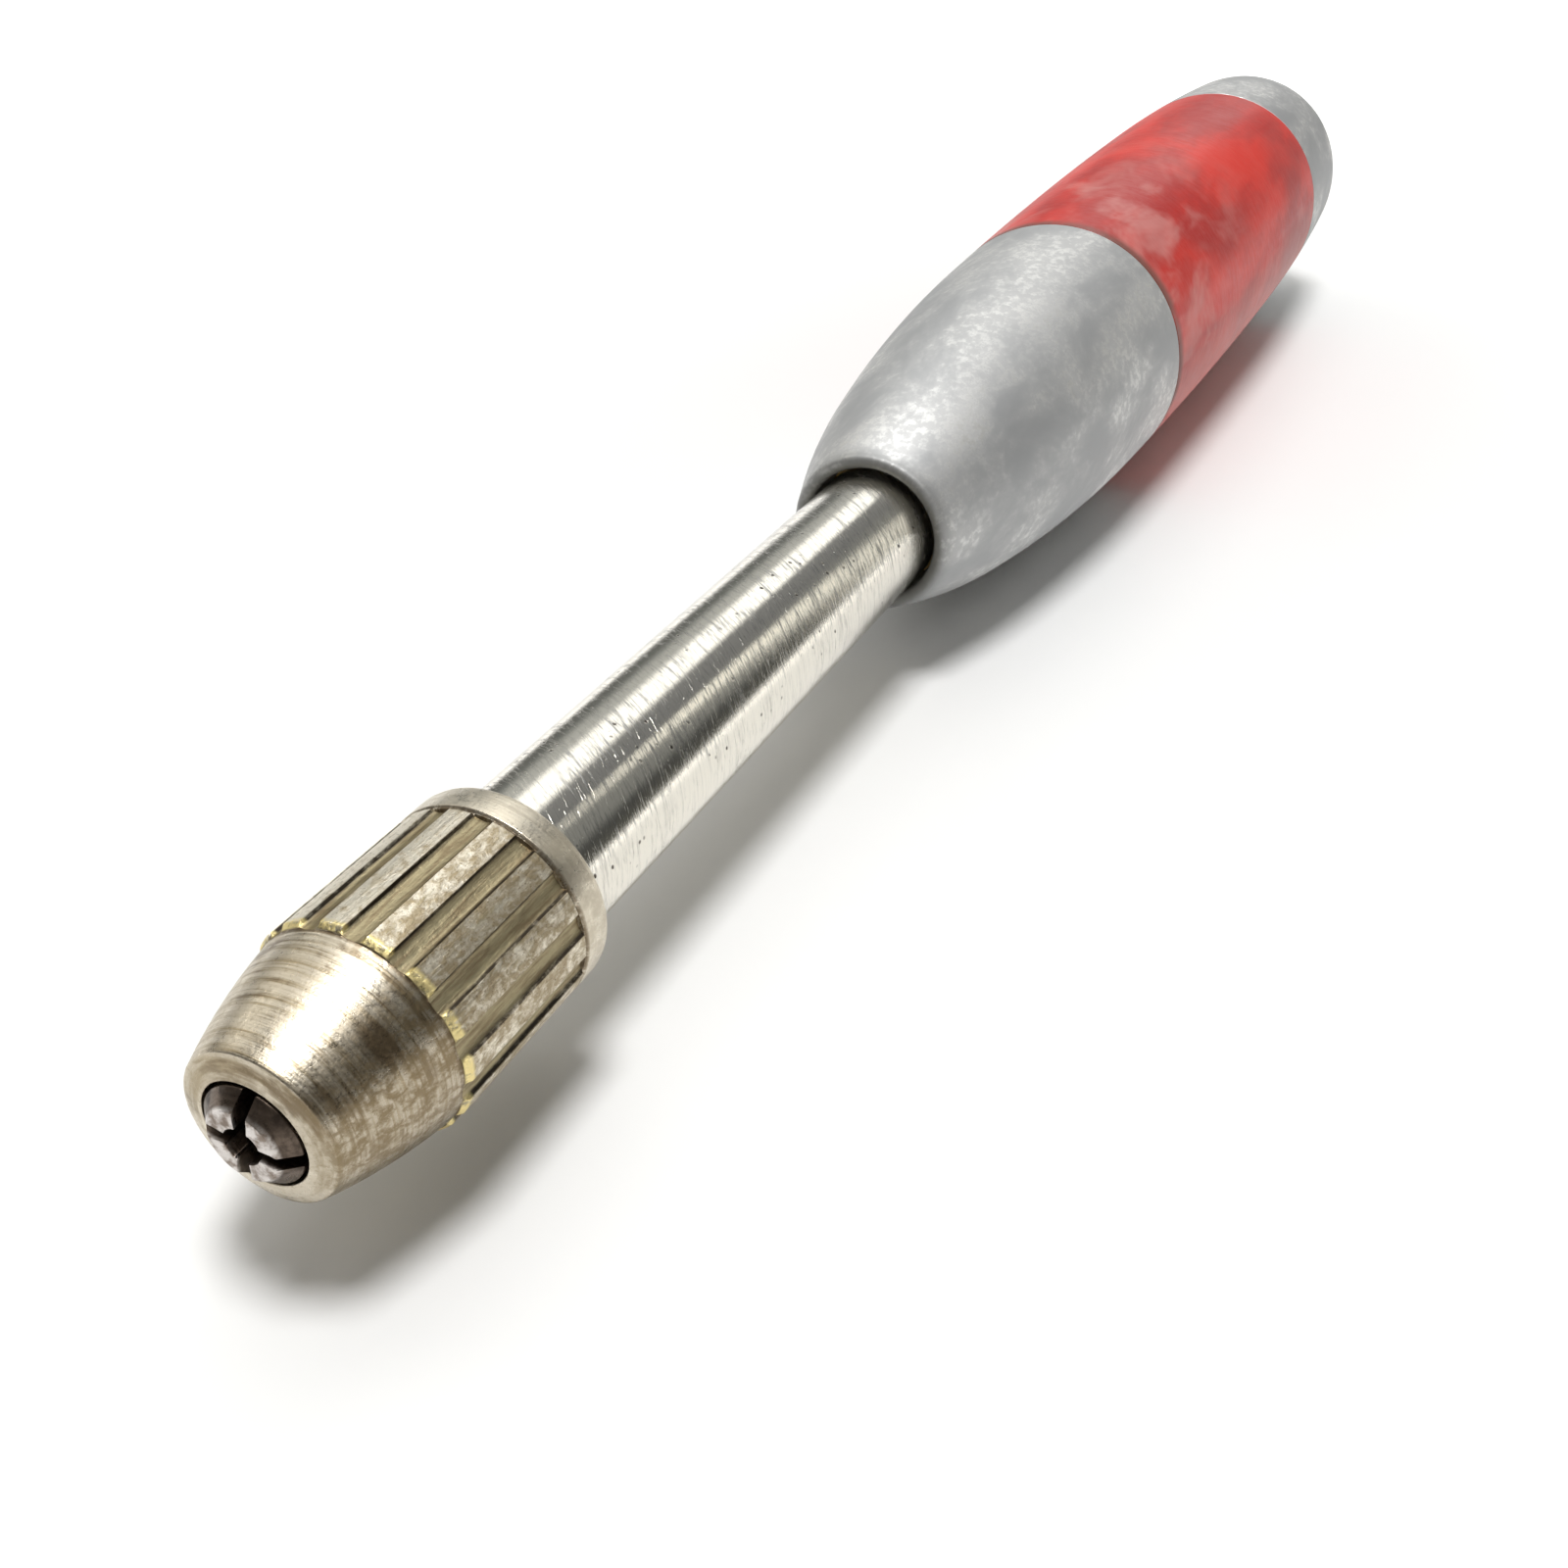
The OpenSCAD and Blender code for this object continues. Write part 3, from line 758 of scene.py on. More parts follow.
@dataclass(frozen=True)
class RedEnamel(Finish):
    """Red enamel, rubbed thin in front, with a painted pale reflection along its lower right flank and a painted
    shadow at its front rim.
    """

    slot: Slot = Slot.ENAMEL
    deep: Colour = (0.40, 0.016, 0.012)
    clear: Colour = (0.68, 0.030, 0.016)
    pale_wear_and_sheen: Colour = (0.66, 0.36, 0.33)
    scuff: Colour = (0.62, 0.25, 0.21)
    darkening_at_steps: Colour = (0.16, 0.06, 0.045)
    front: float = 112.2

    def draw(self, nodes: Nodes) -> None:
        """Draw the enamel with worn streaks.

        Args:
            nodes: The new material's nodes.
        """
        calc, span, mix = nodes.math, nodes.span, nodes.mix
        cloud = nodes.noise((0.12, 0.05, 0.12), detail=4, rough=0.55, seed=31, warp=0.5)
        streak = nodes.noise((0.6, 2.2, 0.6), detail=6, rough=0.7, seed=32)
        haze = nodes.noise((0.20, 0.11, 0.20), detail=3, rough=0.6, seed=33, warp=0.6)
        colour = mix(span(cloud, 0.35, 0.65), self.deep, self.clear)
        forward = span(nodes.y, self.front + 38, self.front + 4, 0.15, 1)
        rubbed = calc("MULTIPLY", span(haze, 0.42, 0.68, 0, 0.5), forward)
        # Painted reflection: the enamel turns pale along its lower right flank, on top of the real wear in front
        flank = span(calc("SUBTRACT", nodes.x, nodes.z), 9, 17, 0, 0.55)
        rubbed = calc("MAXIMUM", rubbed, calc("MULTIPLY", flank, span(haze, 0.3, 0.55, 0.5, 1)))
        colour = mix(rubbed, colour, self.pale_wear_and_sheen)
        colour = mix(span(streak, 0.62, 0.76, 0, 0.3), colour, self.scuff)
        # Painted shadow: a dark band just behind the step at the front rim
        rim = calc("MULTIPLY", span(nodes.y, self.front + 1.8, self.front + 0.3), span(haze, 0.3, 0.55, 0.3, 1))
        nodes.set("Base Color", mix(calc("MULTIPLY", rim, 0.9), colour, self.darkening_at_steps))
        nodes.set("Metallic", 0.0)
        nodes.set("Roughness", span(calc("ADD", haze, streak), 0.7, 1.3, 0.40, 0.6))
        nodes.set("Specular IOR Level", 0.28)
        nodes.set("Coat Weight", 0.1)
        nodes.set("Coat Roughness", 0.18)
        nodes.height(streak, 0.010)
        nodes.height(cloud, 0.04)


@dataclass(frozen=True)
class TurnedMetal(Finish):
    """Plain turned metal of the inner pieces."""

    slot: Slot = Slot.STEEL
    bright: Colour = (0.45, 0.45, 0.45)
    dull: Colour = (0.26, 0.26, 0.27)
    rough: float = 0.3

    def draw(self, nodes: Nodes) -> None:
        """Draw turning lines and oily patches.

        Args:
            nodes: The new material's nodes.
        """
        lines = nodes.noise((0.6, 10, 0.6), detail=4, rough=0.6, seed=41)
        patches = nodes.noise((0.5, 0.5, 0.5), detail=4, seed=42)
        nodes.set("Base Color", nodes.mix(nodes.span(patches, 0.4, 0.65), self.bright, self.dull))
        nodes.set("Metallic", 1.0)
        nodes.set("Roughness", nodes.span(lines, 0.3, 0.7, self.rough - 0.1, self.rough + 0.12))
        nodes.height(lines, 0.008)


@dataclass(frozen=True)
class Leather(Finish):
    """Oiled leather of the buffer washer."""

    slot: Slot = Slot.LEATHER
    oiled: Colour = (0.12, 0.055, 0.025)
    dry: Colour = (0.26, 0.13, 0.06)

    def draw(self, nodes: Nodes) -> None:
        """Draw a pebbled grain.

        Args:
            nodes: The new material's nodes.
        """
        grain = nodes.cells((3, 3, 3), "SMOOTH_F1")
        tone = nodes.noise((0.6, 0.6, 0.6), detail=4, seed=51)
        nodes.set("Base Color", nodes.mix(tone, self.oiled, self.dry))
        nodes.set("Roughness", nodes.span(tone, 0.3, 0.7, 0.55, 0.8))
        nodes.height(grain, 0.06)


FINISHES: tuple[Finish, ...] = (
    NickelPlate(),
    ColletSteel(),
    BrightPlate(),
    BareAluminium(),
    RedEnamel(),
    TurnedMetal(),
    TurnedMetal(Slot.BRASS, (0.62, 0.45, 0.17), (0.42, 0.27, 0.09), 0.28),
    TurnedMetal(Slot.BRONZE, (0.48, 0.29, 0.13), (0.33, 0.19, 0.08), 0.34),
    TurnedMetal(Slot.SPRING, (0.30, 0.31, 0.33), (0.16, 0.16, 0.17), 0.26),
    TurnedMetal(Slot.PRESSED, (0.50, 0.50, 0.49), (0.36, 0.36, 0.35), 0.3),
    Leather(),
)


class Workshop:
    """Holds the frame and the finishes, and hands pieces over to the frame."""

    def __init__(self, frame: dict) -> None:
        """Make every finish once.

        Args:
            frame: What the frame's loading gave.
        """
        self.frame = frame
        self.materials = {finish.slot: finish.material() for finish in FINISHES}

    def hand_over(self, obj: Piece, body: Body, slot: Slot, *nodes: str) -> str:
        """Give a piece its finish, its body and the nodes that it stands for.

        Args:
            obj: The finished piece.
            body: The body that it rides on.
            slot: The record's slot of its finish.
            nodes: CAD nodes that it replaces.

        Returns:
            A line that reports the piece.
        """
        obj.data.materials.clear()
        obj.data.materials.append(self.materials[slot])
        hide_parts(*nodes)
        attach(obj, body.value)
        return f"{obj.name}, {len(obj.data.polygons)} faces, {slot.value}, rides on {body.value}"

    def dress(self, node: str, slot: Slot) -> str:
        """Put a finish on a CAD node that stays.

        Args:
            node: The node's name.
            slot: The record's slot of its finish.

        Returns:
            A line that reports the node.
        """
        for holder in self.frame["nodes"][node].material_slots:
            holder.material = self.materials[slot]
        return f"{node}, its own solid, {slot.value}"


# Sub-assemblies


@dataclass
class Chuck:
    """Ridged sleeve, with the closing ring, the chuck body and its pin inside."""

    hole_at: float = 0.8
    hole_r: float = 2.89
    face_at: float = 1.2
    face_r: float = 4.2
    rim: float = 0.16
    nose_end: float = 7.9
    nose_r: float = 5.9
    nose_bulge: float = 0.2
    nose_steps: int = 22
    ridge_end: float = 18.3
    ridge_r: float = 6.175
    ridge_rings: int = 16
    collar_round: float = 0.6
    sleeve_end: float = 20.6
    grooves: int = 15
    groove_w: float = 1.25
    groove_deep: float = 0.35
    groove_turn: float = 12.5
    groove_power: float = 2.6
    groove_zone_r: float = 5.5
    nose_wall: float = 1.8
    cavity_r: float = 4.15
    thread_at: float = 7.15
    thread_r: float = 4.77
    thread_play: float = 0.05
    tube_zone_at: float = 17.4
    tube_zone_r: float = 4.85
    columns_per_groove: int = 36

    def nose_side(self) -> list[Point]:
        """Points of the nose's bulged side.

        Returns:
            The points from the face's rim to the nose's rear.
        """
        first, last = Vector((self.face_at, self.face_r)), Vector((self.nose_end, self.nose_r))
        chord = last - first
        out = Vector((-chord.y, chord.x)).normalized()
        points = []
        for i in range(self.nose_steps + 1):
            t = i / self.nose_steps
            p = first + chord * t + out * (self.nose_bulge * 4 * t * (1 - t))
            points.append((p.x, p.y))
        return points

    def outline(self) -> list[Point]:
        """Closed half section of the sleeve.

        Returns:
            Its points, with rings along the ridges so that the grooves can run out softly.
        """
        wall_at = self.hole_at + self.nose_wall
        bore_r = self.thread_r + self.thread_play
        corners: list[Triple] = [
            (self.hole_at, self.hole_r, 0.08),
            (self.face_at, self.face_r, self.rim),
            *((y, r, 0) for y, r in self.nose_side()[2:-1]),
            (self.nose_end, self.nose_r, 0.03),
            (self.nose_end + 0.04, self.nose_r + 0.03, 0.0),
            (self.nose_end + 0.2, self.ridge_r - 0.11, 0.0),
            (self.nose_end + 0.38, self.ridge_r, 0.08),
            (self.ridge_end - 0.18, self.ridge_r, 0.06),
            (self.ridge_end, self.ridge_r - 0.18, 0.08),
            (self.ridge_end + 0.18, self.ridge_r, 0.08),
            (self.sleeve_end, self.ridge_r, self.collar_round),
            (self.sleeve_end, self.tube_zone_r, 0.08),
            (self.tube_zone_at, self.tube_zone_r, 0),
            (self.tube_zone_at, bore_r, 0),
            (self.thread_at, bore_r, 0),
            (self.thread_at, self.cavity_r, 0),
            (wall_at, self.cavity_r, 0),
            (wall_at, self.hole_r, 0.05),
        ]
        points = rounded(corners)
        start, rings = self.nose_end + 0.5, self.ridge_rings
        reach = self.ridge_end - 0.3 - start
        extra = [(start + reach * i / rings, self.ridge_r) for i in range(rings + 1)]
        at = max(i for i, p in enumerate(points) if self.ridge_r - 0.01 < p[1] and p[0] < start)
        return points[: at + 1] + extra + points[at + 1 :]

    def sleeve(self) -> Piece:
        """Turn the sleeve and sink its grooves.

        Returns:
            The sleeve.
        """
        obj = turn("ridged_sleeve", self.outline(), self.grooves * self.columns_per_groove)
        pitch = 360 / self.grooves
        half = math.degrees(self.groove_w / 2 / self.ridge_r)
        sunk: dict[float, set[int]] = {}
        for vertex in obj.data.vertices:
            x, y, z = vertex.co / MM
            r = math.hypot(x, z)
            if not (self.nose_end <= y < self.ridge_end + 0.01 and r > self.groove_zone_r):
                continue
            angle = math.degrees(math.atan2(-z, x))
            off = (angle - self.groove_turn + pitch / 2) % pitch - pitch / 2
            across = min(1.0, abs(off) / half)
            depth = self.groove_deep * (1 - across**self.groove_power) ** (1 / self.groove_power)
            factor = round((self.ridge_r - depth) / r, 5)
            if factor < 1:
                sunk.setdefault(factor, set()).add(vertex.index)

        def work() -> None:
            """Draw the vertices of each depth in towards the axis."""
            for factor, chosen in sorted(sunk.items()):
                select_vertices(obj, chosen)
                bpy.ops.transform.resize(value=(factor, 1, factor), center_override=(0, 0, 0))

        edit(work)
        finish_mesh(obj, 28)
        return obj

    def build(self, shop: Workshop) -> Iterator[str]:
        """Make the sleeve and dress what it holds.

        Args:
            shop: Where the pieces get their finish and their body.

        Returns:
            A line for each piece.
        """
        yield shop.hand_over(self.sleeve(), Body.SLEEVE, Slot.NICKEL, "chuck_sleeve")
        for node in ("jaw_ring", "chuck_body", "chuck_pin"):
            yield shop.dress(node, Slot.STEEL)


@dataclass
class Collet:
    """Four jaws and the ring at their root."""

    bore_r: float = 1.0
    bore_end: float = 6
    tip_r: float = 1.9
    tip_out: float = 0.8
    land_r: float = 2.72
    cone_at: float = 2.4
    cone_end: float = 7.4
    cone_r: float = 3.60
    neck_at: float = 8.2
    neck_r: float = 3.25
    root_at: float = 13.5
    root_r: float = 3.3
    root_bore_r: float = 2.3
    slit_half: float = 0.375
    slit_turn: float = 7
    edge_round: float = 0.07
    columns: int = 96

    def jaw(self, quarter: int) -> Piece:
        """One jaw: the collet's outline turned and cut down to a quarter.

        Args:
            quarter: Which of the four, from 0.

        Returns:
            The jaw.
        """
        outline = [
            (0, self.bore_r),
            (0, self.tip_r),
            (self.tip_out, self.land_r),
            (self.cone_at, self.land_r),
            (self.cone_end, self.cone_r),
            (self.neck_at, self.neck_r),
            (self.root_at, self.root_r),
            (self.root_at, self.root_bore_r),
            (self.bore_end, self.root_bore_r),
            (self.bore_end, self.bore_r),
        ]
        obj = turn(f"jaw_{quarter + 1}_leaf", outline, self.columns)
        base = math.radians(self.slit_turn + 90 * quarter)

        def work() -> None:
            """Cut away all but the jaw between its two slits."""
            for side in (0, 1):
                a = base + side * math.pi / 2
                normal = Vector((-math.sin(a), 0, -math.cos(a))) * (1 if side == 0 else -1)
                place = normal * self.slit_half * MM
                bpy.ops.mesh.select_all(action="SELECT")
                bpy.ops.mesh.bisect(plane_co=place, plane_no=normal, use_fill=True, clear_inner=True)
            bpy.ops.mesh.select_all(action="SELECT")
            bpy.ops.mesh.normals_make_consistent(inside=False)

        pick(obj)
        edit(work)
        sharp = math.radians(28)
        width = self.edge_round * MM
        apply_modifier(obj, "BEVEL", width=width, segments=2, limit_method="ANGLE", angle_limit=sharp)
        finish_mesh(obj, 35)
        return obj

    def build(self, shop: Workshop) -> Iterator[str]:
        """Make the jaws and dress their root.

        Args:
            shop: Where the pieces get their finish and their body.

        Returns:
            A line for each piece.
        """
        for quarter, leaf in enumerate((Body.LEAF_1, Body.LEAF_2, Body.LEAF_3, Body.LEAF_4)):
            yield shop.hand_over(self.jaw(quarter), leaf, Slot.COLLET, f"jaw_{quarter + 1}")
        yield shop.dress("collet_ring", Slot.COLLET)


@dataclass
class Tube:
    """Sliding tube with its nut."""

    start: float = 16.7
    end: float = 86.05
    outer_r: float = 4.75
    bore_r: float = 3.75
    edge_round: float = 0.12
    columns: int = 160

    def build(self, shop: Workshop) -> Iterator[str]:
        """Turn the tube and dress the nut.

        Args:
            shop: Where the pieces get their finish and their body.

        Returns:
            A line for each piece.
        """
        corners = [
            (self.start, self.outer_r, self.edge_round),
            (self.end, self.outer_r, self.edge_round),
            (self.end, self.bore_r, self.edge_round),
            (self.start, self.bore_r, self.edge_round),
        ]
        tube = turn("plated_tube", rounded(corners), self.columns)
        finish_mesh(tube)
        yield shop.hand_over(tube, Body.SPINDLE, Slot.BRIGHT, "drive_tube")
        yield shop.dress("drive_nut", Slot.BRASS)
        yield shop.dress("nut_pins", Slot.STEEL)


@dataclass
class Handle:
    """Aluminium front, enamelled barrel and end cap, on one outside made of tangent arcs.

    An arc is the station of its middle from the mouth, the r of its middle and its radius.
    """

    mouth_at: float = 68.2
    length: float = 128
    belly_at: float = 91
    belly_r: float = 12.9
    mouth_r: float = 5.35
    lip_r: float = 0.45
    lip_in: float = 0.3
    lip_arc: float = 0.55
    front_bend: float = 1.044
    ogive_bend: float = 0.163
    mouth_bend: float = 0.0562
    ogive_end: float = 0.4143
    mouth_end: float = 0.1319
    barrel_at: float = 112.2
    barrel_end: float = 173.0
    spigot_l: float = 12
    chamber_r: float = 6.6
    joint_r: float = 9.0
    bush_at: float = 72.2
    anchor_at: float = 165.0
    anchor_end: float = 167.0
    hollow_r: float = 6.0
    cap_wall: float = 3.0
    tail_arc: float = 500
    corner_arc: float = 6.5
    corner_slope: float = 72
    edge_cut: float = 0.12
    columns: int = 192
    arcs: list[Triple] = field(init=False)
    changes: list[float] = field(init=False)

    def __post_init__(self) -> None:
        """Work out the side's arcs, each tangent to the next."""
        bend = self.belly_at**2 / (self.belly_r - self.mouth_r - 2 * self.lip_r)
        front = (self.belly_at, self.belly_r - bend * self.front_bend, bend * self.front_bend)
        ogive = self._next(front, self.belly_at * self.ogive_end, bend * self.ogive_bend)
        mouth = self._next(ogive, self.belly_at * self.mouth_end, bend * self.mouth_bend)
        rear = (self.belly_at, self.belly_r - self.tail_arc, self.tail_arc)
        top = math.radians(self.corner_slope)
        rise, run = math.sin(top), math.cos(top)
        at = self.length - self.corner_arc
        # The corner's start and the dome's edge depend on each other and settle in a few rounds
        for _ in range(6):
            slope = math.asin((at - self.belly_at) / self.tail_arc)
            edge = self._r(rear, at) - self.corner_arc * (math.cos(slope) - run)
            at = self.length - self.corner_arc * (rise - math.sin(slope)) - edge * (1 - rise) / run
        corner = self._next(rear, at, self.corner_arc)
        dome_at = corner[0] + self.corner_arc * rise
        dome_r = edge / run
        dome = (dome_at - dome_r * rise, 0.0, dome_r)
        self.arcs = [mouth, ogive, front, rear, corner, dome]
        ends = (self.belly_at * self.mouth_end, self.belly_at * self.ogive_end, self.belly_at)
        self.changes = [*ends, at, dome_at, self.length]

    @staticmethod
    def _r(arc: Triple, x: float) -> float:
        """The outside's r on an arc at a distance from the mouth."""
        return arc[1] + math.sqrt(max(0.0, arc[2] ** 2 - (x - arc[0]) ** 2))

    def _next(self, arc: Triple, x: float, r: float) -> Triple:
        """The arc of radius r that is tangent to another at x."""
        y = self._r(arc, x)
        return (x + (arc[0] - x) * r / arc[2], y + (arc[1] - y) * r / arc[2], r)

    def outside(self, station: float) -> float:
        """The outside's r at a station of the tool.

        Args:
            station: The station.

        Returns:
            Its r, or 0 behind the tail.
        """
        x = station - self.mouth_at
        for arc, end in zip(self.arcs, self.changes):
            if x <= end:
                return self._r(arc, x)
        return 0.0

    def side(self, start: float, end: float, steps: int) -> list[Point]:
        """Points of the outside between two stations.

        Args:
            start: First station.
            end: Last station.
            steps: Number of spans.

        Returns:
            The points as (station, r).
        """
        stations = [start + (end - start) * i / steps for i in range(steps + 1)]
        return [(station, self.outside(station)) for station in stations]

    def front(self) -> Piece:
        """Turn the front shell.

        Returns:
            The shell, with a rounded lip at its mouth.
        """
        bore_r = self.mouth_r - self.lip_in
        lip = arc_points((self.mouth_at + self.lip_arc, bore_r + self.lip_arc), self.lip_arc, -180, -30, 10)
        first = self.mouth_at + self.lip_r
        near = self.side(first, first + 8, 24)
        far = self.side(first + 8.5, self.barrel_at - self.edge_cut, 40)
        spigot_end = self.barrel_at + self.spigot_l
        inner = [
            (self.barrel_at, self.outside(self.barrel_at) - self.edge_cut),
            (self.barrel_at, self.joint_r),
            (spigot_end, self.joint_r),
            (spigot_end, self.chamber_r),
            (self.bush_at, self.chamber_r),
            (self.bush_at, bore_r),
        ]
        obj = turn("aluminium_front", lip + near + far + inner, self.columns)
        finish_mesh(obj)
        return obj

    def barrel(self) -> Piece:
        """Turn the enamelled barrel.

        Returns:
            The barrel, open for the spigot in front and the anchor behind.
        """
        spigot_end = self.barrel_at + self.spigot_l
        outside = self.side(self.barrel_at + self.edge_cut, self.barrel_end - self.edge_cut, 60)
        outline = [
            (self.barrel_at, outside[0][1] - self.edge_cut),
            *outside,
            (self.barrel_end, outside[-1][1] - self.edge_cut),
            (self.barrel_end, self.joint_r),
            (self.anchor_at, self.joint_r),
            (self.anchor_at, self.chamber_r),
            (spigot_end, self.chamber_r),
            (spigot_end, self.joint_r),
            (self.barrel_at, self.joint_r),
        ]
        obj = turn("enamelled_barrel", outline, self.columns)
        finish_mesh(obj)
        return obj

    def cap(self) -> Piece:
        """Turn the end cap.

        Returns:
            The cap, closed at its pole.
        """
        tail = self.mouth_at + self.length
        floor_at = tail - self.cap_wall
        corner_from, dome_from = (self.mouth_at + change for change in self.changes[3:5])
        outside = self.side(self.barrel_end + self.edge_cut, corner_from, 16)
        outside += self.side(corner_from, dome_from, 20)[1:]
        outside += self.side(dome_from, tail, 12)[1:-1]
        outline = [
            (floor_at, 0),
            (floor_at, self.hollow_r),
            (self.anchor_end, self.hollow_r),
            (self.anchor_end, self.joint_r),
            (self.barrel_end, self.joint_r),
            (self.barrel_end, outside[0][1] - self.edge_cut),
            *outside,
            (tail, 0),
        ]
        obj = turn("end_cap_shell", outline, self.columns, closed=False)
        finish_mesh(obj)
        return obj

    def build(self, shop: Workshop) -> Iterator[str]:
        """Make the handle's shells and dress what they hold.

        Args:
            shop: Where the pieces get their finish and their body.

        Returns:
            A line for each piece.
        """
        yield shop.hand_over(self.front(), Body.HANDLE, Slot.ALUMINIUM, "front_shell")
        yield shop.hand_over(self.barrel(), Body.HANDLE, Slot.ENAMEL, "grip_barrel")
        yield shop.hand_over(self.cap(), Body.HANDLE, Slot.ALUMINIUM, "end_cap")
        for node, slot in (
            ("front_bush", Slot.BRASS),
            ("buffer_washer", Slot.LEATHER),
            ("rod_anchor", Slot.STEEL),
            ("anchor_pin", Slot.STEEL),
            ("spiral_rod", Slot.STEEL),
            ("spring_seat", Slot.PRESSED),
            ("thrust_washer", Slot.BRONZE),
        ):
            yield shop.dress(node, slot)


@dataclass
class ReturnSpring:
    """Compression spring round the rod."""

    start: float = 91.4
    end: float = 157.0
    stroke: float = 44
    wire: float = 0.9
    outer_d: float = 12.0
    open_turns: int = 16
    closed_gap: float = 0.45
    ease: float = 0.02
    points_per_turn: int = 40

    def build(self, shop: Workshop) -> Iterator[str]:
        """Lay the wire along its helix.

        Args:
            shop: Where the pieces get their finish and their body.

        Returns:
            A line for the spring.
        """
        coil_r = (self.outer_d - self.wire) / 2
        closed = self.wire + self.closed_gap
        length = self.end - self.start - self.wire - 2 * self.ease
        pitch = (length - 2 * closed) / self.open_turns
        turns = self.open_turns + 2
        curve = bpy.data.curves.new("coiled_spring", "CURVE")
        curve.dimensions = "3D"
        curve.bevel_depth = self.wire / 2 * MM
        curve.bevel_resolution = 3
        curve.use_fill_caps = True
        spline = curve.splines.new("POLY")
        spline.points.add(turns * self.points_per_turn)
        for i, point in enumerate(spline.points):
            t = i / self.points_per_turn
            y = self.start + self.wire / 2 + self.ease + closed * min(t, 1)
            y += pitch * max(0, min(t - 1, self.open_turns)) + closed * max(0, t - 1 - self.open_turns)
            a = math.tau * t
            point.co = (coil_r * math.cos(a) * MM, y * MM, -coil_r * math.sin(a) * MM, 1)
        obj = bpy.data.objects.new("coiled_spring", curve)
        bpy.context.scene.collection.objects.link(obj)
        pick(obj)
        bpy.ops.object.convert(target="MESH")
        obj = bpy.context.object
        finish_mesh(obj, 60)
        line = shop.hand_over(obj, Body.HANDLE, Slot.SPRING, "return_spring")
        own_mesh(obj)
        yield line


# Surroundings


@dataclass(frozen=True)
class Window:
    """A bright patch of the room, seen in the metal."""

    towards: Triple
    half_angle: float
    colour: Colour


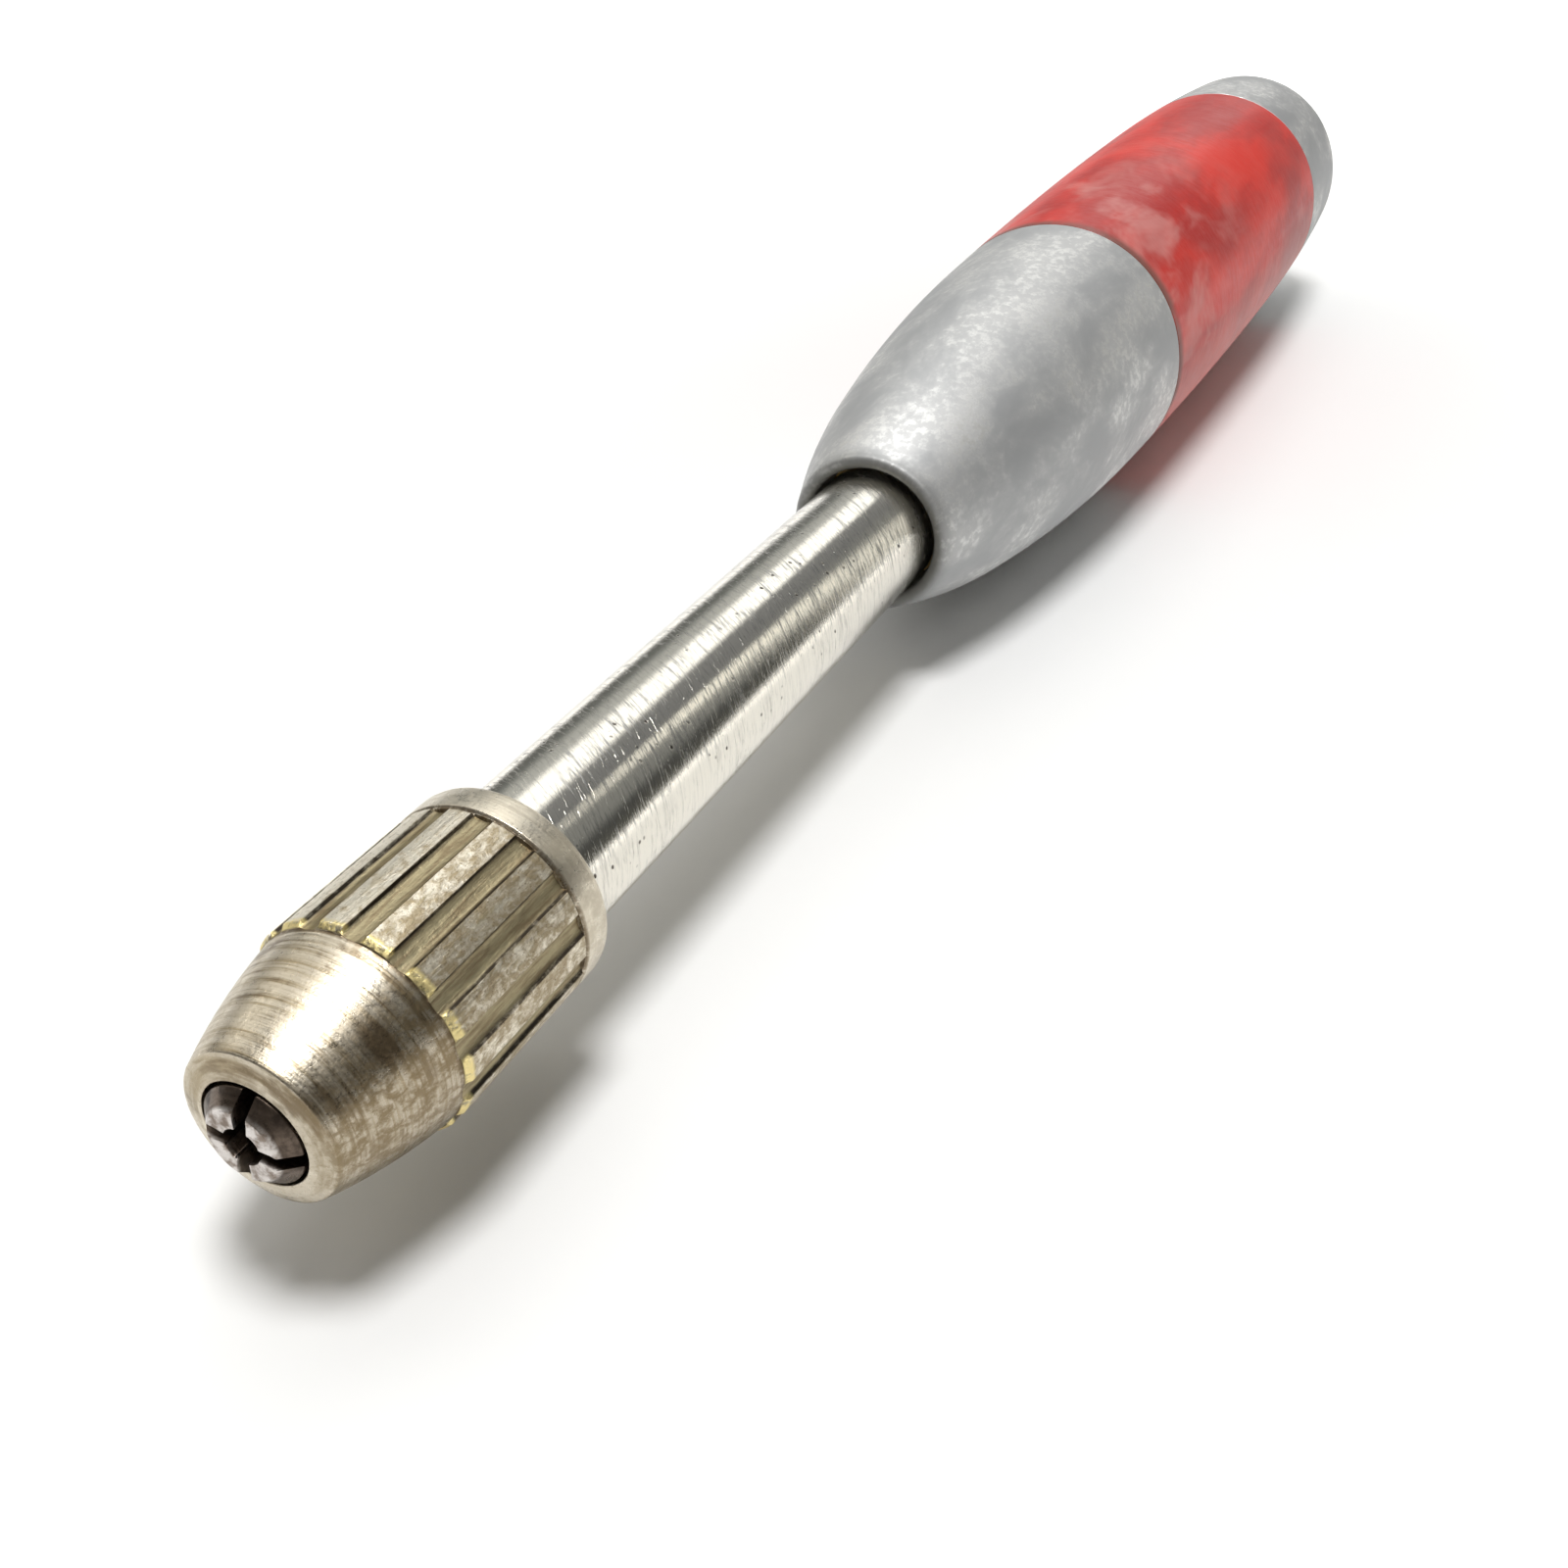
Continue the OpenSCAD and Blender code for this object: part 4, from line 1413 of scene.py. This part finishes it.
@dataclass
class Studio:
    """Table, lamp, room and camera.

    The ceiling is a band of shades by the angle about the tool's axis, in degrees from +X over +Z to -X.
    """

    room_near: Colour = (0.14, 0.135, 0.125)
    horizon: Point = (0.07, 0.02)
    brightest: float = 1.7
    ceiling: tuple[tuple[float, Colour], ...] = (
        (2, (0.11, 0.11, 0.10)),
        (20, (0.06, 0.062, 0.062)),
        (30, (0.22, 0.225, 0.22)),
        (50, (0.24, 0.245, 0.24)),
        (66, (0.20, 0.205, 0.21)),
        (87, (0.24, 0.245, 0.25)),
        (95, (1.55, 1.55, 1.52)),
        (118, (1.55, 1.55, 1.52)),
        (127, (0.50, 0.51, 0.50)),
        (141, (0.48, 0.49, 0.48)),
        (155, (0.16, 0.17, 0.165)),
        (180, (0.13, 0.13, 0.125)),
    )
    window: Window = Window((-0.80, 0.12, 0.58), 15, (1.6, 1.56, 1.45))
    slit_at: float = 0.46
    slit_half: float = 0.065
    slit_light: Colour = (1.1, 1.08, 1.0)
    white: Colour = (1.0, 1.0, 1.0)
    key_at: Triple = (40, 15, 600)
    key_to: Triple = (0, 90, 0)
    key_size: float = 205
    key_power: float = 3.1

    camera_at: Triple = (42.557, -34.787, 51.868)
    right: Triple = (0.90134, 0.43312, 0.0)
    back: Triple = (0.36057, -0.75036, 0.55403)
    lens: float = 37.565
    film: float = 36
    nearest: float = 1

    table_size: float = 3000
    table_colour: Colour = (0.88, 0.88, 0.875)
    table_rough: float = 0.5
    touch: Point = (127.7, -12.53)
    tilt: float = -1.387
    glow_at: float = 90
    along: float = 0.45
    glow_from: float = 25
    glow_to: float = 200
    glow: float = 0.9

    def table(self) -> None:
        """A white table under the belly, tilted as the tool lies on it, and white away from the tool."""
        deselect()
        bpy.ops.mesh.primitive_grid_add(x_subdivisions=4, y_subdivisions=4, size=self.table_size * MM)
        table = bpy.context.object
        table.name = "table"
        touch = Vector((0, *self.touch)) * MM
        turn_by = Matrix.Rotation(math.radians(self.tilt), 4, "X")
        table.data.transform(Matrix.Translation(touch) @ turn_by)
        material = bpy.data.materials.new("table_top")
        material.use_nodes = True
        nodes = Tree(material.node_tree)
        shader = material.node_tree.nodes["Principled BSDF"]
        nodes.plug(shader.inputs["Base Color"], self.table_colour)
        nodes.plug(shader.inputs["Roughness"], self.table_rough)
        nodes.plug(shader.inputs["Emission Color"], self.white)
        path = nodes.add("LightPath").outputs
        seen = nodes.math("MAXIMUM", path["Is Camera Ray"], path["Is Glossy Ray"])
        seen = nodes.math("MAXIMUM", seen, path["Is Transmission Ray"])
        place = nodes.add("TexCoord").outputs["Object"]
        place = nodes.place(place, (1, self.along, 0), moved=(0, -self.glow_at * MM * self.along, 0))
        far = nodes.span(nodes.length(place), self.glow_from * MM, self.glow_to * MM, 0, self.glow)
        nodes.plug(shader.inputs["Emission Strength"], nodes.math("MULTIPLY", seen, far))
        table.data.materials.append(material)
        table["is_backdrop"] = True

    def lamp(self) -> None:
        """The round lamp over the tool, a little to its right."""
        data = bpy.data.lights.new("lamp", "AREA")
        data.shape = "DISK"
        data.size = self.key_size * MM
        data.energy = self.key_power
        lamp = bpy.data.objects.new("lamp", data)
        bpy.context.scene.collection.objects.link(lamp)
        lamp.location = Vector(self.key_at) * MM
        lamp.rotation_euler = (Vector(self.key_at) - Vector(self.key_to)).to_track_quat("Z", "Y").to_euler()

    def dimmed(self, colour: Colour) -> Colour:
        """A colour as a share of the brightest one, since the background's strength brings it back."""
        return tuple(v / self.brightest for v in colour)

    def world(self) -> None:
        """A dim room with a bright band overhead, a slit of light behind, a window and a white backdrop."""
        world = bpy.context.scene.world or bpy.data.worlds.new("studio")
        bpy.context.scene.world = world
        world.use_nodes = True
        world.node_tree.nodes.clear()
        nodes = Tree(world.node_tree)
        calc, span = nodes.math, nodes.span
        room = nodes.add("Background")
        nodes.plug(nodes.add("OutputWorld").inputs[0], room.outputs[0])
        sky = nodes.add("TexCoord").outputs["Generated"]
        x, y, z = nodes.split(sky)
        sides = nodes.add("ValToRGB")
        band = sides.color_ramp.elements
        while len(band) < len(self.ceiling):
            band.new(0.5)
        for element, (degrees, shade) in zip(band, self.ceiling):
            element.position = degrees / 180
            element.color = (*self.dimmed(shade), 1)
        nodes.plug(sides.inputs[0], calc("DIVIDE", calc("ARCTAN2", z, x), math.pi))
        colour = nodes.mix(span(y, 0.35, -0.1), sides.outputs[0], self.dimmed(self.room_near))
        slit = calc("MULTIPLY", calc("COMPARE", x, self.slit_at, self.slit_half), span(y, 0.5, 0.6))
        colour = nodes.mix(slit, colour, self.dimmed(self.slit_light))
        dot = nodes.add("VectorMath", operation="DOT_PRODUCT")
        nodes.plug(dot.inputs[0], sky)
        dot.inputs[1].default_value = Vector(self.window.towards).normalized()
        inner, outer = (math.cos(math.radians(self.window.half_angle * part)) for part in (0.7, 1.3))
        colour = nodes.mix(span(dot.outputs["Value"], outer, inner), colour, self.dimmed(self.window.colour))
        # Camera rays see the white backdrop, mirrored ones see it low behind the tool
        low = calc("MULTIPLY", span(z, *self.horizon), span(x, 0.35, 0.15))
        path = nodes.add("LightPath").outputs
        mirrored = calc("MAXIMUM", path["Is Glossy Ray"], path["Is Transmission Ray"])
        seen = calc("MAXIMUM", path["Is Camera Ray"], calc("MULTIPLY", mirrored, low))
        nodes.plug(room.inputs[0], nodes.mix(seen, colour, self.dimmed(self.white)))
        room.inputs[1].default_value = self.brightest

    def camera(self) -> None:
        """The photograph's camera."""
        data = bpy.data.cameras.new("camera")
        data.lens = self.lens
        data.sensor_width = self.film
        data.clip_start = self.nearest * MM
        camera = bpy.data.objects.new("camera", data)
        bpy.context.scene.collection.objects.link(camera)
        back, right = Vector(self.back).normalized(), Vector(self.right).normalized()
        turn_by = Matrix((right, back.cross(right), back)).transposed().to_4x4()
        camera.matrix_world = Matrix.Translation(Vector(self.camera_at) * MM) @ turn_by
        bpy.context.scene.camera = camera

    def build(self) -> None:
        """Set up everything round the tool."""
        self.table()
        self.world()
        self.lamp()
        self.camera()
        bpy.context.scene.view_settings.view_transform = "Standard"


def corners(box: Iterable[Iterable[float]]) -> list[list[float]]:
    """A box as plain lists of numbers."""
    return [list(map(float, corner)) for corner in box]


def main() -> None:
    """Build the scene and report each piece."""
    logging.basicConfig(level=logging.INFO, format="%(name)s: %(message)s")
    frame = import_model()
    cad_box = corners(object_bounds())
    Studio().build()
    shop = Workshop(frame)
    for assembly in (Chuck(), Collet(), Tube(), Handle(), ReturnSpring()):
        for line in assembly.build(shop):
            LOG.info("%s: %s", type(assembly).__name__, line)
    {"cad": cad_box, "visual": corners(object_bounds())}


if __name__ == "__main__":
    main()
